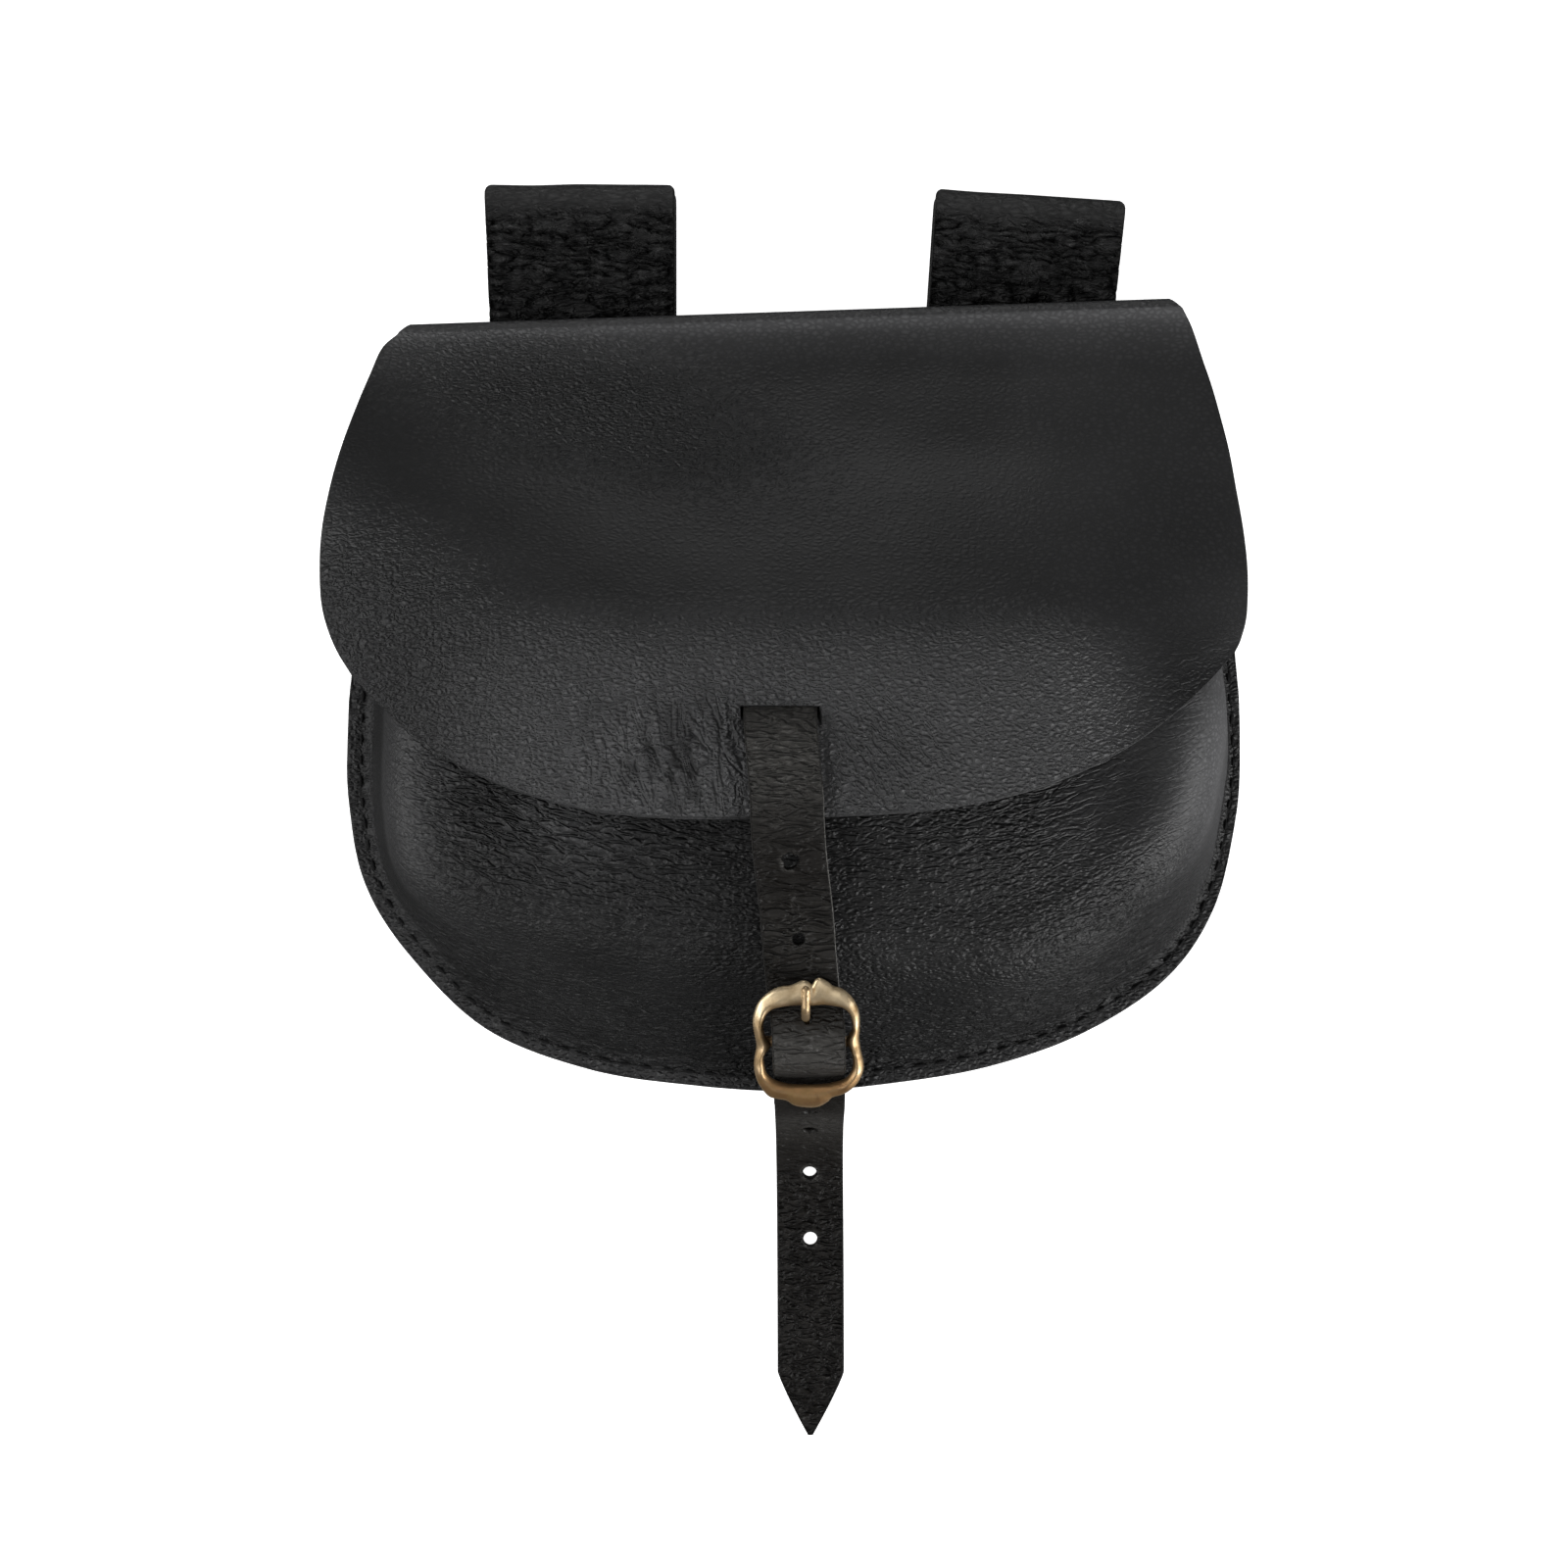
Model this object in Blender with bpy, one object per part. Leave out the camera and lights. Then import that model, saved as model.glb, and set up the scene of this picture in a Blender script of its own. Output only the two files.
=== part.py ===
"""A moulded leather belt pouch with a buckled flap, lying on its flat back.

+X is to its right, +Y to the fold along its top and +Z out of its front. The origin is on the underside of the
back, in its middle. Sizes and tables are in millimetres.
"""
import math

import bpy
import numpy as np

mm = 0.001

# Leather thicknesses and the gaps that neighbouring pieces keep
bagLeather = 2.0
loopLeather = 2.0
strapLeather = 1.8
anchorLeather = 1.6
gap = 0.3
lieGap = 0.1

# The bag: its width, how far its bottom edge and its mouth are from the origin, and how deep it is at the bottom
bagWidth = 208.8
bagDrop = 91.2
mouthRise = 41.5
bagDepth = 50.5

# The bag's front
flangeTop = 2 * bagLeather + gap
flangeWidth = 5.0
footInset = 0.6
footRound = 2.4
leftRidgeRound = 5.5
rightRidgeRound = 12.0
bottomRidgeRound = 14.0
faceBulge = 9.0
faceStartLift = 6.0

# The belt loops, a share of half the bag's width aside, with their ends sewn behind the back above its mouth
loopWidth = 43.6
loopHeight = 9.5
leftLoopX = -0.473 * bagWidth / 2
leftLoopTop = 120.5
rightLoopX = 0.4885 * bagWidth / 2
rightLoopTop = 118.3
rightLoopTurn = -3.8
sewnAboveMouth = 15.5
loopSewnLength = 9.0
loopClimbLength = 12.0
loopSewnEnd = mouthRise + sewnAboveMouth
loopSewnTop = loopSewnEnd + loopSewnLength
loopFlatFrom = loopSewnTop + loopClimbLength

# The back climbs over the sewn ends of the loops and then to the fold along the top
backFlatTo = mouthRise + 1.5
backOverEnds = loopSewnEnd - 5.0
secondClimbFrom = loopSewnEnd + 1.0
secondClimbRun = 14.0

# The fold along the top
foldGap = 1.2
foldUnderside = loopHeight + gap
foldLeftY = 86.4
foldRightY = 92.4
foldHalfWidth = 0.838 * bagWidth / 2
foldMiddleX = -0.01 * bagWidth / 2
foldRadius = bagLeather + foldGap / 2

# The flap: how far its front edge stands above the bag's ridge, and how far it hangs below its corners
flapClearance = 5.7
flapSag = 33.5
flapTop = bagDepth + flapClearance
flapCornerPower = 3.1
flapDroopPower = 3.2

# The strap on the flap, its slit and its tab under the flap
strapWidth = 15.6
slitX = -3.1
slitY = -3.6
slitLength = 7.0
strapTabWidth = 30.0
strapTabLength = 27.6
strapTabNeck = 8.5
tailReach = 81.1
pointLength = 15.0
pointNarrowing = 0.93

# The strap's holes, counted in spacings from its tip
punchRadius = 1.5
holeSpacing = 16.1
punchedHoles = (2.87, 3.87, 4.87, 5.87, 9.3, 10.37)
pinHoleWidth = 3.0
pinHoleAlong = (0.16, 0.37)

# The buckle: where its upper bar is over the bag's bottom edge and ridge, its length between the bars, and its lean
buckleX = 2.9
upperBarRise = 28.0
upperBarLift = 2.9
buckleLength = 25.4
buckleLean = math.radians(21.2)
buckleWidth = 24.4
frameThickness = 3.0
middleBarRadius = 1.2
middleBarDrop = 1.5
pinRadius = 0.95
pinAside = -0.6
pinKnee = (5.2, -0.25)
pinOverBar = (9.7, 12.4, 15.1)

# The buckle's own strap
anchorWidth = 15.4
anchorPast = 2.2
anchorSeat = 0.55
pinSlotSpare = 2.4

# Mesh steps
acrossSteps = 32
spokeSteps = 40
strapSteps = 49
roundSides = 12
frameSides = 10

# The bag's outline and the ridge of its front, a row for each station from the left of the mouth round the bottom.
# Sideways shares of half the width, lengthways shares of the drop below the origin and of the mouth's rise above it,
# and heights as shares of the depth
bodyColumns = ("edgeX", "edgeY", "ridgeX", "ridgeY", "ridgeZ")
bodyStations = (
    (-0.929, 1.0, -0.805, 0.976, 0.475),
    (-0.977, 0.41, -0.833, 0.386, 0.614),
    (-1.0, -0.077, -0.843, -0.077, 0.733),
    (-0.996, -0.274, -0.841, -0.285, 0.772),
    (-0.96, -0.471, -0.8, -0.439, 0.802),
    (-0.862, -0.65, -0.67, -0.521, 0.881),
    (-0.69, -0.84, -0.489, -0.559, 0.941),
    (-0.462, -0.943, -0.259, -0.603, 0.98),
    (-0.235, -0.984, -0.115, -0.625, 0.996),
    (0.0, -1.0, 0.029, -0.63, 1.0),
    (0.23, -0.978, 0.22, -0.63, 0.996),
    (0.446, -0.934, 0.45, -0.641, 0.97),
    (0.655, -0.847, 0.642, -0.554, 0.911),
    (0.834, -0.711, 0.761, -0.422, 0.842),
    (0.939, -0.537, 0.838, -0.296, 0.782),
    (0.987, -0.323, 0.886, -0.132, 0.752),
    (1.0, -0.126, 0.906, 0.072, 0.681),
    (0.988, 0.289, 0.9, 0.482, 0.59),
    (0.956, 1.0, 0.872, 0.976, 0.475),
)
mouthMiddleShares = (0.019, 1.012, 0.545)

# The flap, a row for each section from the fold to its front edge: its ends as shares of half the width and of the
# fold's height there, how far its middle hangs below its ends as a share of the sag, and heights from the fold (0) to
# the flap's front edge (1). Its sides droop from the middle's height to their own
flapColumns = ("leftX", "leftY", "rightX", "rightY", "sag", "leftZ", "middleZ", "rightZ")
flapSections = (
    (-0.871, 0.97, 0.853, 0.972, 0.0, 0.0, 0.0, 0.0),
    (-0.905, 0.932, 0.874, 0.922, 0.006, 0.005, 0.015, 0.005),
    (-0.929, 0.862, 0.895, 0.844, 0.018, 0.029, 0.058, 0.029),
    (-0.954, 0.778, 0.916, 0.758, 0.036, 0.073, 0.136, 0.073),
    (-0.982, 0.671, 0.943, 0.622, 0.066, 0.131, 0.267, 0.131),
    (-1.003, 0.565, 0.958, 0.503, 0.134, 0.184, 0.437, 0.184),
    (-1.018, 0.44, 0.969, 0.395, 0.254, 0.243, 0.619, 0.243),
    (-1.018, 0.33, 0.972, 0.298, 0.403, 0.301, 0.777, 0.306),
    (-1.007, 0.226, 0.966, 0.2, 0.597, 0.359, 0.888, 0.359),
    (-0.979, 0.133, 0.951, 0.141, 0.791, 0.403, 0.956, 0.398),
    (-0.937, 0.052, 0.934, 0.107, 1.0, 0.437, 1.0, 0.437),
)

# The strap's middle line: sway as a share of how far the buckle is to the right of the slit, then two shares a row.
# Over the bag they go from the flap's front edge down to the upper bar and from the ridge up to the top of the flap.
# In the buckle they go from its upper edge to its lower one and out of its plane, in clearances under a bar. Where
# the strap falls to the surface both are shares of the depth, and where it lies the one is of the tail's reach
overBag = ((-0.75, 0.005, 1.03), (-0.667, 0.209, 0.971), (-0.433, 0.534, 0.565), (-0.3, 0.805, 0.217))
inBuckle = (
    (-0.167, 0.076, -1.03),
    (-0.1, 0.16, -0.95),
    (-0.05, 0.25, -0.15),
    (0.0, 0.35, 0.9),
    (0.017, 0.463, 1.17),
    (0.033, 0.6, 1.0),
    (0.04, 0.73, 0.1),
    (0.05, 0.83, -0.85),
    (0.05, 0.938, -1.26),
)
falling = (
    (0.083, -0.02, 0.594),
    (0.1, 0.075, 0.352),
    (0.117, 0.174, 0.17),
    (0.133, 0.313, 0.051),
    (0.15, 0.491, 0.006),
)
lying = ((0.167, 0.478), (0.183, 0.815), (0.167, 1.0))

# The buckle's own strap, the middle line of its two plies: its sway as above, and "down" and "low" as shares of the
# way from the middle bar to the strap's end on the flange
anchorColumns = ("sway", "down", "low")
anchorRoute = (
    (0.0, 0.185, 0.177),
    (0.0, 0.279, 0.399),
    (0.0, 0.394, 0.645),
    (0.01, 0.551, 0.867),
    (0.02, 0.749, 0.98),
    (0.03, 1.0, 1.0),
)

# The cast frame, seen from its front: its outer and inner edge, clockwise from the pin's rest, as shares of half its
# width and of half the length between its bars
frameColumns = ("outerX", "outerY", "innerX", "innerY")
frameOutline = (
    (0.0, 1.18, -0.02, 0.74),
    (0.06, 1.13, 0.07, 0.74),
    (0.12, 1.22, 0.16, 0.745),
    (0.2, 1.25, 0.27, 0.75),
    (0.33, 1.18, 0.39, 0.74),
    (0.43, 1.1, 0.49, 0.725),
    (0.58, 1.05, 0.59, 0.7),
    (0.74, 0.91, 0.685, 0.63),
    (0.85, 0.72, 0.74, 0.54),
    (0.895, 0.53, 0.76, 0.44),
    (0.9, 0.31, 0.76, 0.29),
    (0.89, 0.12, 0.67, 0.1),
    (0.92, -0.09, 0.72, -0.06),
    (0.97, -0.31, 0.78, -0.26),
    (0.97, -0.5, 0.77, -0.47),
    (0.88, -0.72, 0.69, -0.62),
    (0.74, -0.87, 0.59, -0.68),
    (0.6, -0.95, 0.475, -0.715),
    (0.44, -1.0, 0.38, -0.74),
    (0.34, -1.1, 0.28, -0.75),
    (0.18, -1.19, 0.155, -0.755),
    (-0.02, -1.205, -0.02, -0.76),
    (-0.24, -1.165, -0.2, -0.755),
    (-0.38, -1.07, -0.32, -0.75),
    (-0.52, -1.04, -0.43, -0.725),
    (-0.68, -1.0, -0.54, -0.69),
    (-0.8, -0.87, -0.64, -0.64),
    (-0.9, -0.69, -0.72, -0.56),
    (-0.95, -0.48, -0.76, -0.44),
    (-0.95, -0.26, -0.77, -0.22),
    (-0.91, -0.02, -0.665, -0.02),
    (-0.94, 0.17, -0.74, 0.14),
    (-0.975, 0.42, -0.785, 0.34),
    (-0.94, 0.63, -0.755, 0.52),
    (-0.87, 0.8, -0.7, 0.61),
    (-0.74, 0.945, -0.6, 0.685),
    (-0.59, 1.05, -0.475, 0.715),
    (-0.46, 1.095, -0.36, 0.73),
    (-0.32, 1.11, -0.25, 0.74),
    (-0.11, 1.2, -0.09, 0.74),
)


def readColumns(rows, columns):
    """Each named column of a table as an array."""
    values = np.array(rows, float)
    return {name: values[:, index] for index, name in enumerate(columns)}


def smoothThrough(values, place):
    """The height at a place, counted in rows, of a smooth curve through a column of values."""
    values = np.asarray(values, float)
    place = np.clip(np.asarray(place, float), 0, len(values) - 1)
    row = np.minimum(place.astype(int), len(values) - 2)
    t = place - row
    padded = np.concatenate(([2 * values[0] - values[1]], values, [2 * values[-1] - values[-2]]))
    before, start, end, after = (padded[row + step] for step in range(4))
    bend = 2 * before - 5 * start + 4 * end - after
    twist = 3 * (start - end) + after - before
    return start + 0.5 * t * (end - before + t * (bend + t * twist))


def ease(value):
    """0 below 0, 1 above 1 and a smooth step between."""
    value = np.clip(value, 0, 1)
    return value * value * (3 - 2 * value)


def unit(vectors):
    return vectors / np.maximum(np.linalg.norm(vectors, axis=-1, keepdims=True), 1e-9)


def gridNormals(points):
    """The normals of a grid of points, along its rows crossed with along its columns."""
    return unit(np.cross(np.gradient(points, axis=0), np.gradient(points, axis=1)))


def sheetFaces(rows, columns, first):
    faces = []
    for row in range(rows - 1):
        for column in range(columns - 1):
            corner = first + row * columns + column
            faces.append((corner, corner + columns, corner + columns + 1, corner + 1))
    return faces


def sheetSolid(outer, thickness, normals=None):
    """Points and faces of a closed sheet: the grid of its outer face, and its inner face a thickness below."""
    rows, columns = outer.shape[:2]
    normals = gridNormals(outer) if normals is None else normals
    inner = outer - normals * thickness
    count = rows * columns
    faces = sheetFaces(rows, columns, 0)
    faces += [tuple(reversed(face)) for face in sheetFaces(rows, columns, count)]
    border = [column for column in range(columns)]
    border += [row * columns + columns - 1 for row in range(1, rows)]
    border += [(rows - 1) * columns + column for column in range(columns - 2, -1, -1)]
    border += [row * columns for row in range(rows - 2, 0, -1)]
    for here, following in zip(border, border[1:] + border[:1]):
        faces.append((here, following, following + count, here + count))
    return np.concatenate((outer.reshape(-1, 3), inner.reshape(-1, 3))), faces


def tubeSolid(centres, radii, sides=roundSides, closed=False, across=(1.0, 0.0, 0.0)):
    """Points and faces of a tube along a line, its sections spanned by one fixed axis and the axis across both."""
    centres = np.asarray(centres, float)
    radii = np.broadcast_to(np.asarray(radii, float), (len(centres), 2))
    if closed:
        along = unit(np.roll(centres, -1, axis=0) - np.roll(centres, 1, axis=0))
    else:
        along = unit(np.gradient(centres, axis=0))
    first = unit(np.broadcast_to(np.array(across), centres.shape))
    second = unit(np.cross(along, first))
    first = np.cross(second, along)
    angles = np.arange(sides) * 2 * math.pi / sides
    points = centres[:, None] + first[:, None] * (radii[:, None, :1] * np.cos(angles)[None, :, None])
    points = points + second[:, None] * (radii[:, None, 1:] * np.sin(angles)[None, :, None])
    faces = []
    rings = len(centres)
    for ring in range(rings if closed else rings - 1):
        for side in range(sides):
            here = ring * sides + side
            beside = ring * sides + (side + 1) % sides
            above = (ring + 1) % rings * sides
            faces.append((here, beside, above + (side + 1) % sides, above + side))
    if not closed:
        faces.append(tuple(range(sides - 1, -1, -1)))
        faces.append(tuple((rings - 1) * sides + side for side in range(sides)))
    return points.reshape(-1, 3), faces


def addMaterial(name, colour, roughness, metallic=0.0):
    material = bpy.data.materials.new(name)
    material.use_nodes = True
    shader = material.node_tree.nodes["Principled BSDF"]
    shader.inputs["Base Color"].default_value = (*colour, 1.0)
    shader.inputs["Roughness"].default_value = roughness
    shader.inputs["Metallic"].default_value = metallic
    return material


def addPiece(name, points, faces, material, sharpAngle=45):
    """An object from points in millimetres, its faces turned outwards and shaded smooth between sharp edges."""
    mesh = bpy.data.meshes.new(name)
    mesh.from_pydata([tuple(point) for point in np.asarray(points) * mm], [], faces)
    mesh.update()
    volume = 0.0
    mesh.calc_loop_triangles()
    for triangle in mesh.loop_triangles:
        a, b, c = (mesh.vertices[index].co for index in triangle.vertices)
        volume += a.dot(b.cross(c))
    if volume < 0:
        mesh.flip_normals()
    mesh.shade_smooth()
    mesh.set_sharp_from_angle(angle=math.radians(sharpAngle))
    if material:
        mesh.materials.append(material)
    piece = bpy.data.objects.new(name, mesh)
    bpy.context.scene.collection.objects.link(piece)
    return piece


def combine(target, tool, operation):
    """Joins a tool to a piece, or cuts it out of the piece, and leaves the tool out of the model."""
    modifier = target.modifiers.new(tool.name, "BOOLEAN")
    modifier.operation = operation
    modifier.solver = "EXACT"
    modifier.object = tool
    tool.hide_render = True
    tool.display_type = "WIRE"


def boxTool(name, low, high):
    corners = [(x, y, z) for x in (low[0], high[0]) for y in (low[1], high[1]) for z in (low[2], high[2])]
    faces = [(0, 1, 3, 2), (4, 6, 7, 5), (0, 4, 5, 1), (2, 3, 7, 6), (0, 2, 6, 4), (1, 5, 7, 3)]
    return addPiece(name, corners, faces, None)


def aboutOrigin(shares):
    """Lengthways places from shares of the mouth's rise above the origin and of the drop below it."""
    return shares * np.where(shares > 0, mouthRise, bagDrop)


body = readColumns(bodyStations, bodyColumns)
body = {
    "edgeX": body["edgeX"] * bagWidth / 2,
    "edgeY": aboutOrigin(body["edgeY"]),
    "ridgeX": body["ridgeX"] * bagWidth / 2,
    "ridgeY": aboutOrigin(body["ridgeY"]),
    "ridgeZ": body["ridgeZ"] * bagDepth,
}
flap = readColumns(flapSections, flapColumns)
mouthMiddle = np.array(mouthMiddleShares) * (bagWidth / 2, mouthRise, bagDepth)


# The back and the flap
def backRise(y):
    """Height of the back's underside, which lies flat up to the loops' sewn ends and then climbs over them."""
    overSewnEnds = 2 * loopLeather + 2 * gap
    climb = ease((y - backFlatTo) / (backOverEnds - backFlatTo)) * overSewnEnds
    return climb + ease((y - secondClimbFrom) / secondClimbRun) * (foldUnderside - overSewnEnds)


def foldRow(angle, u):
    """A row of points along the fold, at an angle round it from its foremost edge."""
    roundedBy = foldRadius * (1 - math.cos(angle))
    x = foldMiddleX + (foldHalfWidth + roundedBy) * u
    y = foldLeftY + (foldRightY - foldLeftY) * 0.5 * (u + 1) - roundedBy
    z = np.full_like(u, foldUnderside + foldRadius * (1 + math.sin(angle)))
    return np.stack((x, y, z), axis=-1)


def flapPoints(place, u):
    """Points of the flap's outer face, at a place counted in its sections and at u from -1 at its left to 1."""
    row = {name: smoothThrough(values, place) for name, values in flap.items()}
    ends = 0.5 * (u + 1)
    x = (row["leftX"] + (row["rightX"] - row["leftX"]) * ends) * bagWidth / 2
    y = row["leftY"] * foldLeftY * (1 - ends) + row["rightY"] * foldRightY * ends
    y = y - row["sag"] * flapSag * (1 - np.abs(u) ** flapCornerPower)
    sideZ = np.where(u < 0, row["leftZ"], row["rightZ"])
    rise = row["middleZ"] + (sideZ - row["middleZ"]) * np.abs(u) ** flapDroopPower
    foldTop = foldUnderside + 2 * foldRadius
    return np.stack((x, y, foldTop + (flapTop - foldTop) * rise), axis=-1)


def backAndFlapGrid(across, flatParts, climbLevels, foldAngles, flapPlaces):
    """The outer face of the whole piece, from the bottom edge of the back over the fold to the flap's front."""
    u = np.linspace(-1, 1, across + 1)
    station = 0.5 * (u + 1) * (len(bodyStations) - 1)
    edgeX = smoothThrough(body["edgeX"], station)
    edgeY = smoothThrough(body["edgeY"], station)
    top = foldRow(-math.pi / 2, u)
    rows = []
    heights = [edgeY + (backFlatTo - edgeY) * part for part in flatParts]
    heights += [np.full_like(edgeY, level) for level in climbLevels]
    for y in heights:
        x = edgeX + (top[:, 0] - edgeX) * (y - edgeY) / (top[:, 1] - edgeY)
        rows.append(np.stack((x, y, backRise(y)), axis=-1))
    backRows = len(rows)
    rows += [foldRow(angle, u) for angle in foldAngles]
    rows += [flapPoints(place, u) for place in flapPlaces]
    grid = np.array(rows)
    normals = gridNormals(grid)
    y = grid[:backRows, :, 1]
    slope = (backRise(y + 0.1) - backRise(y - 0.1)) / 0.2
    normals[:backRows] = unit(np.stack((np.zeros_like(y), slope, -np.ones_like(y)), axis=-1))
    return grid, normals


def makeBackAndFlap(material):
    flatParts = (0.0, 0.4, 0.75, 1.0)
    firstClimb = backFlatTo + (backOverEnds - backFlatTo) * np.array((0.28, 0.56, 0.83, 1.1))
    secondClimb = secondClimbFrom + secondClimbRun * np.array((0.04, 0.29, 0.54, 0.79, 1.04))
    climbLevels = (*firstClimb, *secondClimb)
    foldAngles = np.radians((-90, -50, -15, 15, 50))
    flapPlaces = np.linspace(0, len(flapSections) - 1, 18)
    grid, normals = backAndFlapGrid(acrossSteps, flatParts, climbLevels, foldAngles, flapPlaces)
    piece = addPiece("back_and_flap", *sheetSolid(grid, bagLeather, normals), material)
    half = strapWidth / 2 + gap + lieGap
    z = flapHeight(slitY)
    low = (slitX - half, slitY - slitLength / 2, z - slitLength)
    high = (slitX + half, slitY + slitLength / 2, z + slitLength)
    slit = boxTool("slit_cutter", low, high)
    combine(piece, slit, "DIFFERENCE")
    return piece


def flapHeight(y):
    """Height of the flap's outer face along its middle."""
    places = np.linspace(0, len(flapSections) - 1, 200)
    points = flapPoints(places, np.zeros(200))
    return np.interp(y, points[::-1, 1], points[::-1, 2])


# The moulded front
def frontGrid(stations, ridgeParts, facePlaces):
    """The outer face of the front: a ring of points for each step from the flange's edge in to the mouth's middle."""
    row = {name: smoothThrough(values, stations) for name, values in body.items()}
    edge = np.stack((row["edgeX"], row["edgeY"], np.full_like(stations, flangeTop)), axis=-1)
    ridge = np.stack((row["ridgeX"], row["ridgeY"], row["ridgeZ"]), axis=-1)
    inward = unit((ridge - edge) * (1, 1, 0))
    foot = edge + inward * (flangeWidth + footInset)
    middle = np.broadcast_to(mouthMiddle, ridge.shape)
    bottomness = np.sin(math.pi * stations / (len(bodyStations) - 1))[:, None] ** 2
    rightness = (stations / (len(bodyStations) - 1))[:, None]
    sideRound = leftRidgeRound + (rightRidgeRound - leftRidgeRound) * rightness
    ridgeRound = sideRound + (bottomRidgeRound - sideRound) * bottomness
    wall = unit(ridge - foot)
    face = unit(middle - ridge + (0, 0, faceStartLift) * bottomness)
    rings = [edge, edge + inward * (flangeWidth - footRound) * 0.5]
    footStart, footEnd = foot - inward * footRound, foot + wall * footRound
    ridgeStart, ridgeEnd = ridge - wall * ridgeRound, ridge + face * ridgeRound
    rings += [bezier(footStart, foot, footEnd, t) for t in (0.0, 0.5, 1.0)]
    rings += [footEnd + (ridgeStart - footEnd) * t for t in (1 / 3, 2 / 3)]
    rings += [bezier(ridgeStart, ridge, ridgeEnd, t) for t in ridgeParts]
    for t in facePlaces:
        lift = np.array((0, 0, faceBulge)) * 4 * t * (1 - t)
        rings.append(ridgeEnd + (middle - ridgeEnd) * t + lift * bottomness)
    return np.array(rings)


def bezier(start, corner, end, t):
    return start * (1 - t) ** 2 + corner * 2 * t * (1 - t) + end * t ** 2


def makeFront(material):
    stations = np.linspace(0, len(bodyStations) - 1, spokeSteps + 1)
    rings = frontGrid(stations, (0.0, 0.2, 0.4, 0.6, 0.8, 1.0), (0.15, 0.33, 0.52, 0.72, 0.9))
    points, faces = sheetSolid(rings, bagLeather, -gridNormals(rings))
    return addPiece("front_panel", *closePole(points, faces, rings), material)


def closePole(points, faces, rings):
    """Fills the fan between the innermost ring and the mouth's middle, on both faces of the shell."""
    rows, columns = rings.shape[:2]
    count = rows * columns
    last = (rows - 1) * columns
    innerBorder = {last + column for column in range(columns)}
    kept = []
    for face in faces:
        onRing = [index for index in face if index % count in innerBorder]
        isRim = len(onRing) == 4
        if not isRim:
            kept.append(face)
    poles = np.array((mouthMiddle, mouthMiddle - (0, 0, bagLeather)))
    outerPole, innerPole = 2 * count, 2 * count + 1
    for column in range(columns - 1):
        here = last + column
        kept.append((here, outerPole, here + 1))
        kept.append((here + count + 1, innerPole, here + count))
    start, end = last, last + columns - 1
    kept.append((start, start + count, innerPole, outerPole))
    kept.append((end + count, end, outerPole, innerPole))
    return np.concatenate((points, poles)), kept


# The belt loops
def loopSection(top):
    """The loop's outer face from the end of the rear ply, up, over the top and down to the end of the front ply."""
    radius = loopHeight / 2
    foldY = top - radius
    rear = [(y, 0.0) for y in np.linspace(loopSewnEnd, foldY, 4)]
    angles = np.radians((-60, -30, 0, 30, 60))
    fold = [(foldY + radius * math.cos(a), radius + radius * math.sin(a)) for a in angles]
    flatY = np.linspace(foldY, loopFlatFrom, 4)
    frontY = (*flatY[:-1], *np.linspace(loopFlatFrom, loopSewnTop, 5), loopSewnEnd)
    drop = loopHeight - 2 * loopLeather - gap
    front = [(y, loopHeight - drop * ease((loopFlatFrom - y) / (loopFlatFrom - loopSewnTop))) for y in frontY]
    return np.array(rear + fold + front)


def makeLoop(name, centreX, top, turn, material):
    section = loopSection(top)
    xs = np.linspace(-loopWidth / 2, loopWidth / 2, 4)
    grid = np.array([[(x, y, z) for x in xs] for y, z in section])
    points, faces = sheetSolid(grid, loopLeather)
    pivotY = 0.5 * (loopSewnEnd + loopSewnTop)
    cosine, sine = math.cos(turn), math.sin(turn)
    x, y = points[:, 0], points[:, 1] - pivotY
    turned = np.stack((centreX + x * cosine - y * sine, pivotY + x * sine + y * cosine, points[:, 2]), axis=-1)
    return addPiece(name, turned, faces, material)


# The strap on the flap
def strapRoute():
    """Points of the strap's middle line from the flap's front edge to its tip."""
    half = strapLeather / 2
    frontY = flapPoints(np.array([len(flapSections) - 1.0]), np.zeros(1))[0, 1]
    barY = upperBar()[0]
    points = []
    for sway, down, up in overBag:
        z = bagDepth + (flapTop + gap + half - bagDepth) * up
        points.append((sway, frontY + (barY - frontY) * down, z))
    for sway, down, out in inBuckle:
        underBar = frameThickness / 2 + gap + half
        points.append((sway, *onBuckle(buckleLength * (0.5 - down), out * underBar)))
    for sway, down, up in falling:
        points.append((sway, -bagDrop - down * bagDepth, lieGap + half + up * bagDepth))
    for sway, reach in lying:
        points.append((sway, -bagDrop - reach * tailReach, lieGap + half))
    return np.array([(buckleX + sway * (buckleX - slitX), y, z) for sway, y, z in points])


def strapMiddleLine(steps):
    """The strap's middle line: under the flap, out through the slit, along the flap, through the buckle and down."""
    route = strapRoute()
    tab = np.linspace(slitY + strapTabLength, slitY + 6.6, 4)
    beforeEdge = np.linspace(slitY - 8.4, route[0, 1] + 3.5, 4)
    y = np.concatenate((tab, np.linspace(slitY + 5.1, slitY - 4.9, 8), beforeEdge))
    under = -bagLeather - 2 * gap - strapLeather / 2
    over = gap + strapLeather / 2
    out = ease((slitY + 4.2 - y) / 7.8)
    z = flapHeight(y) + under + (over - under) * out
    x = slitX + (route[0, 0] - slitX) * ease((slitY - y) / (slitY - route[0, 1]))
    places = np.linspace(0, len(route) - 1, steps)
    rest = np.stack([smoothThrough(values, places) for values in route.T], axis=-1)
    return np.concatenate((np.stack((x, y, z), axis=-1), rest))


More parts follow.
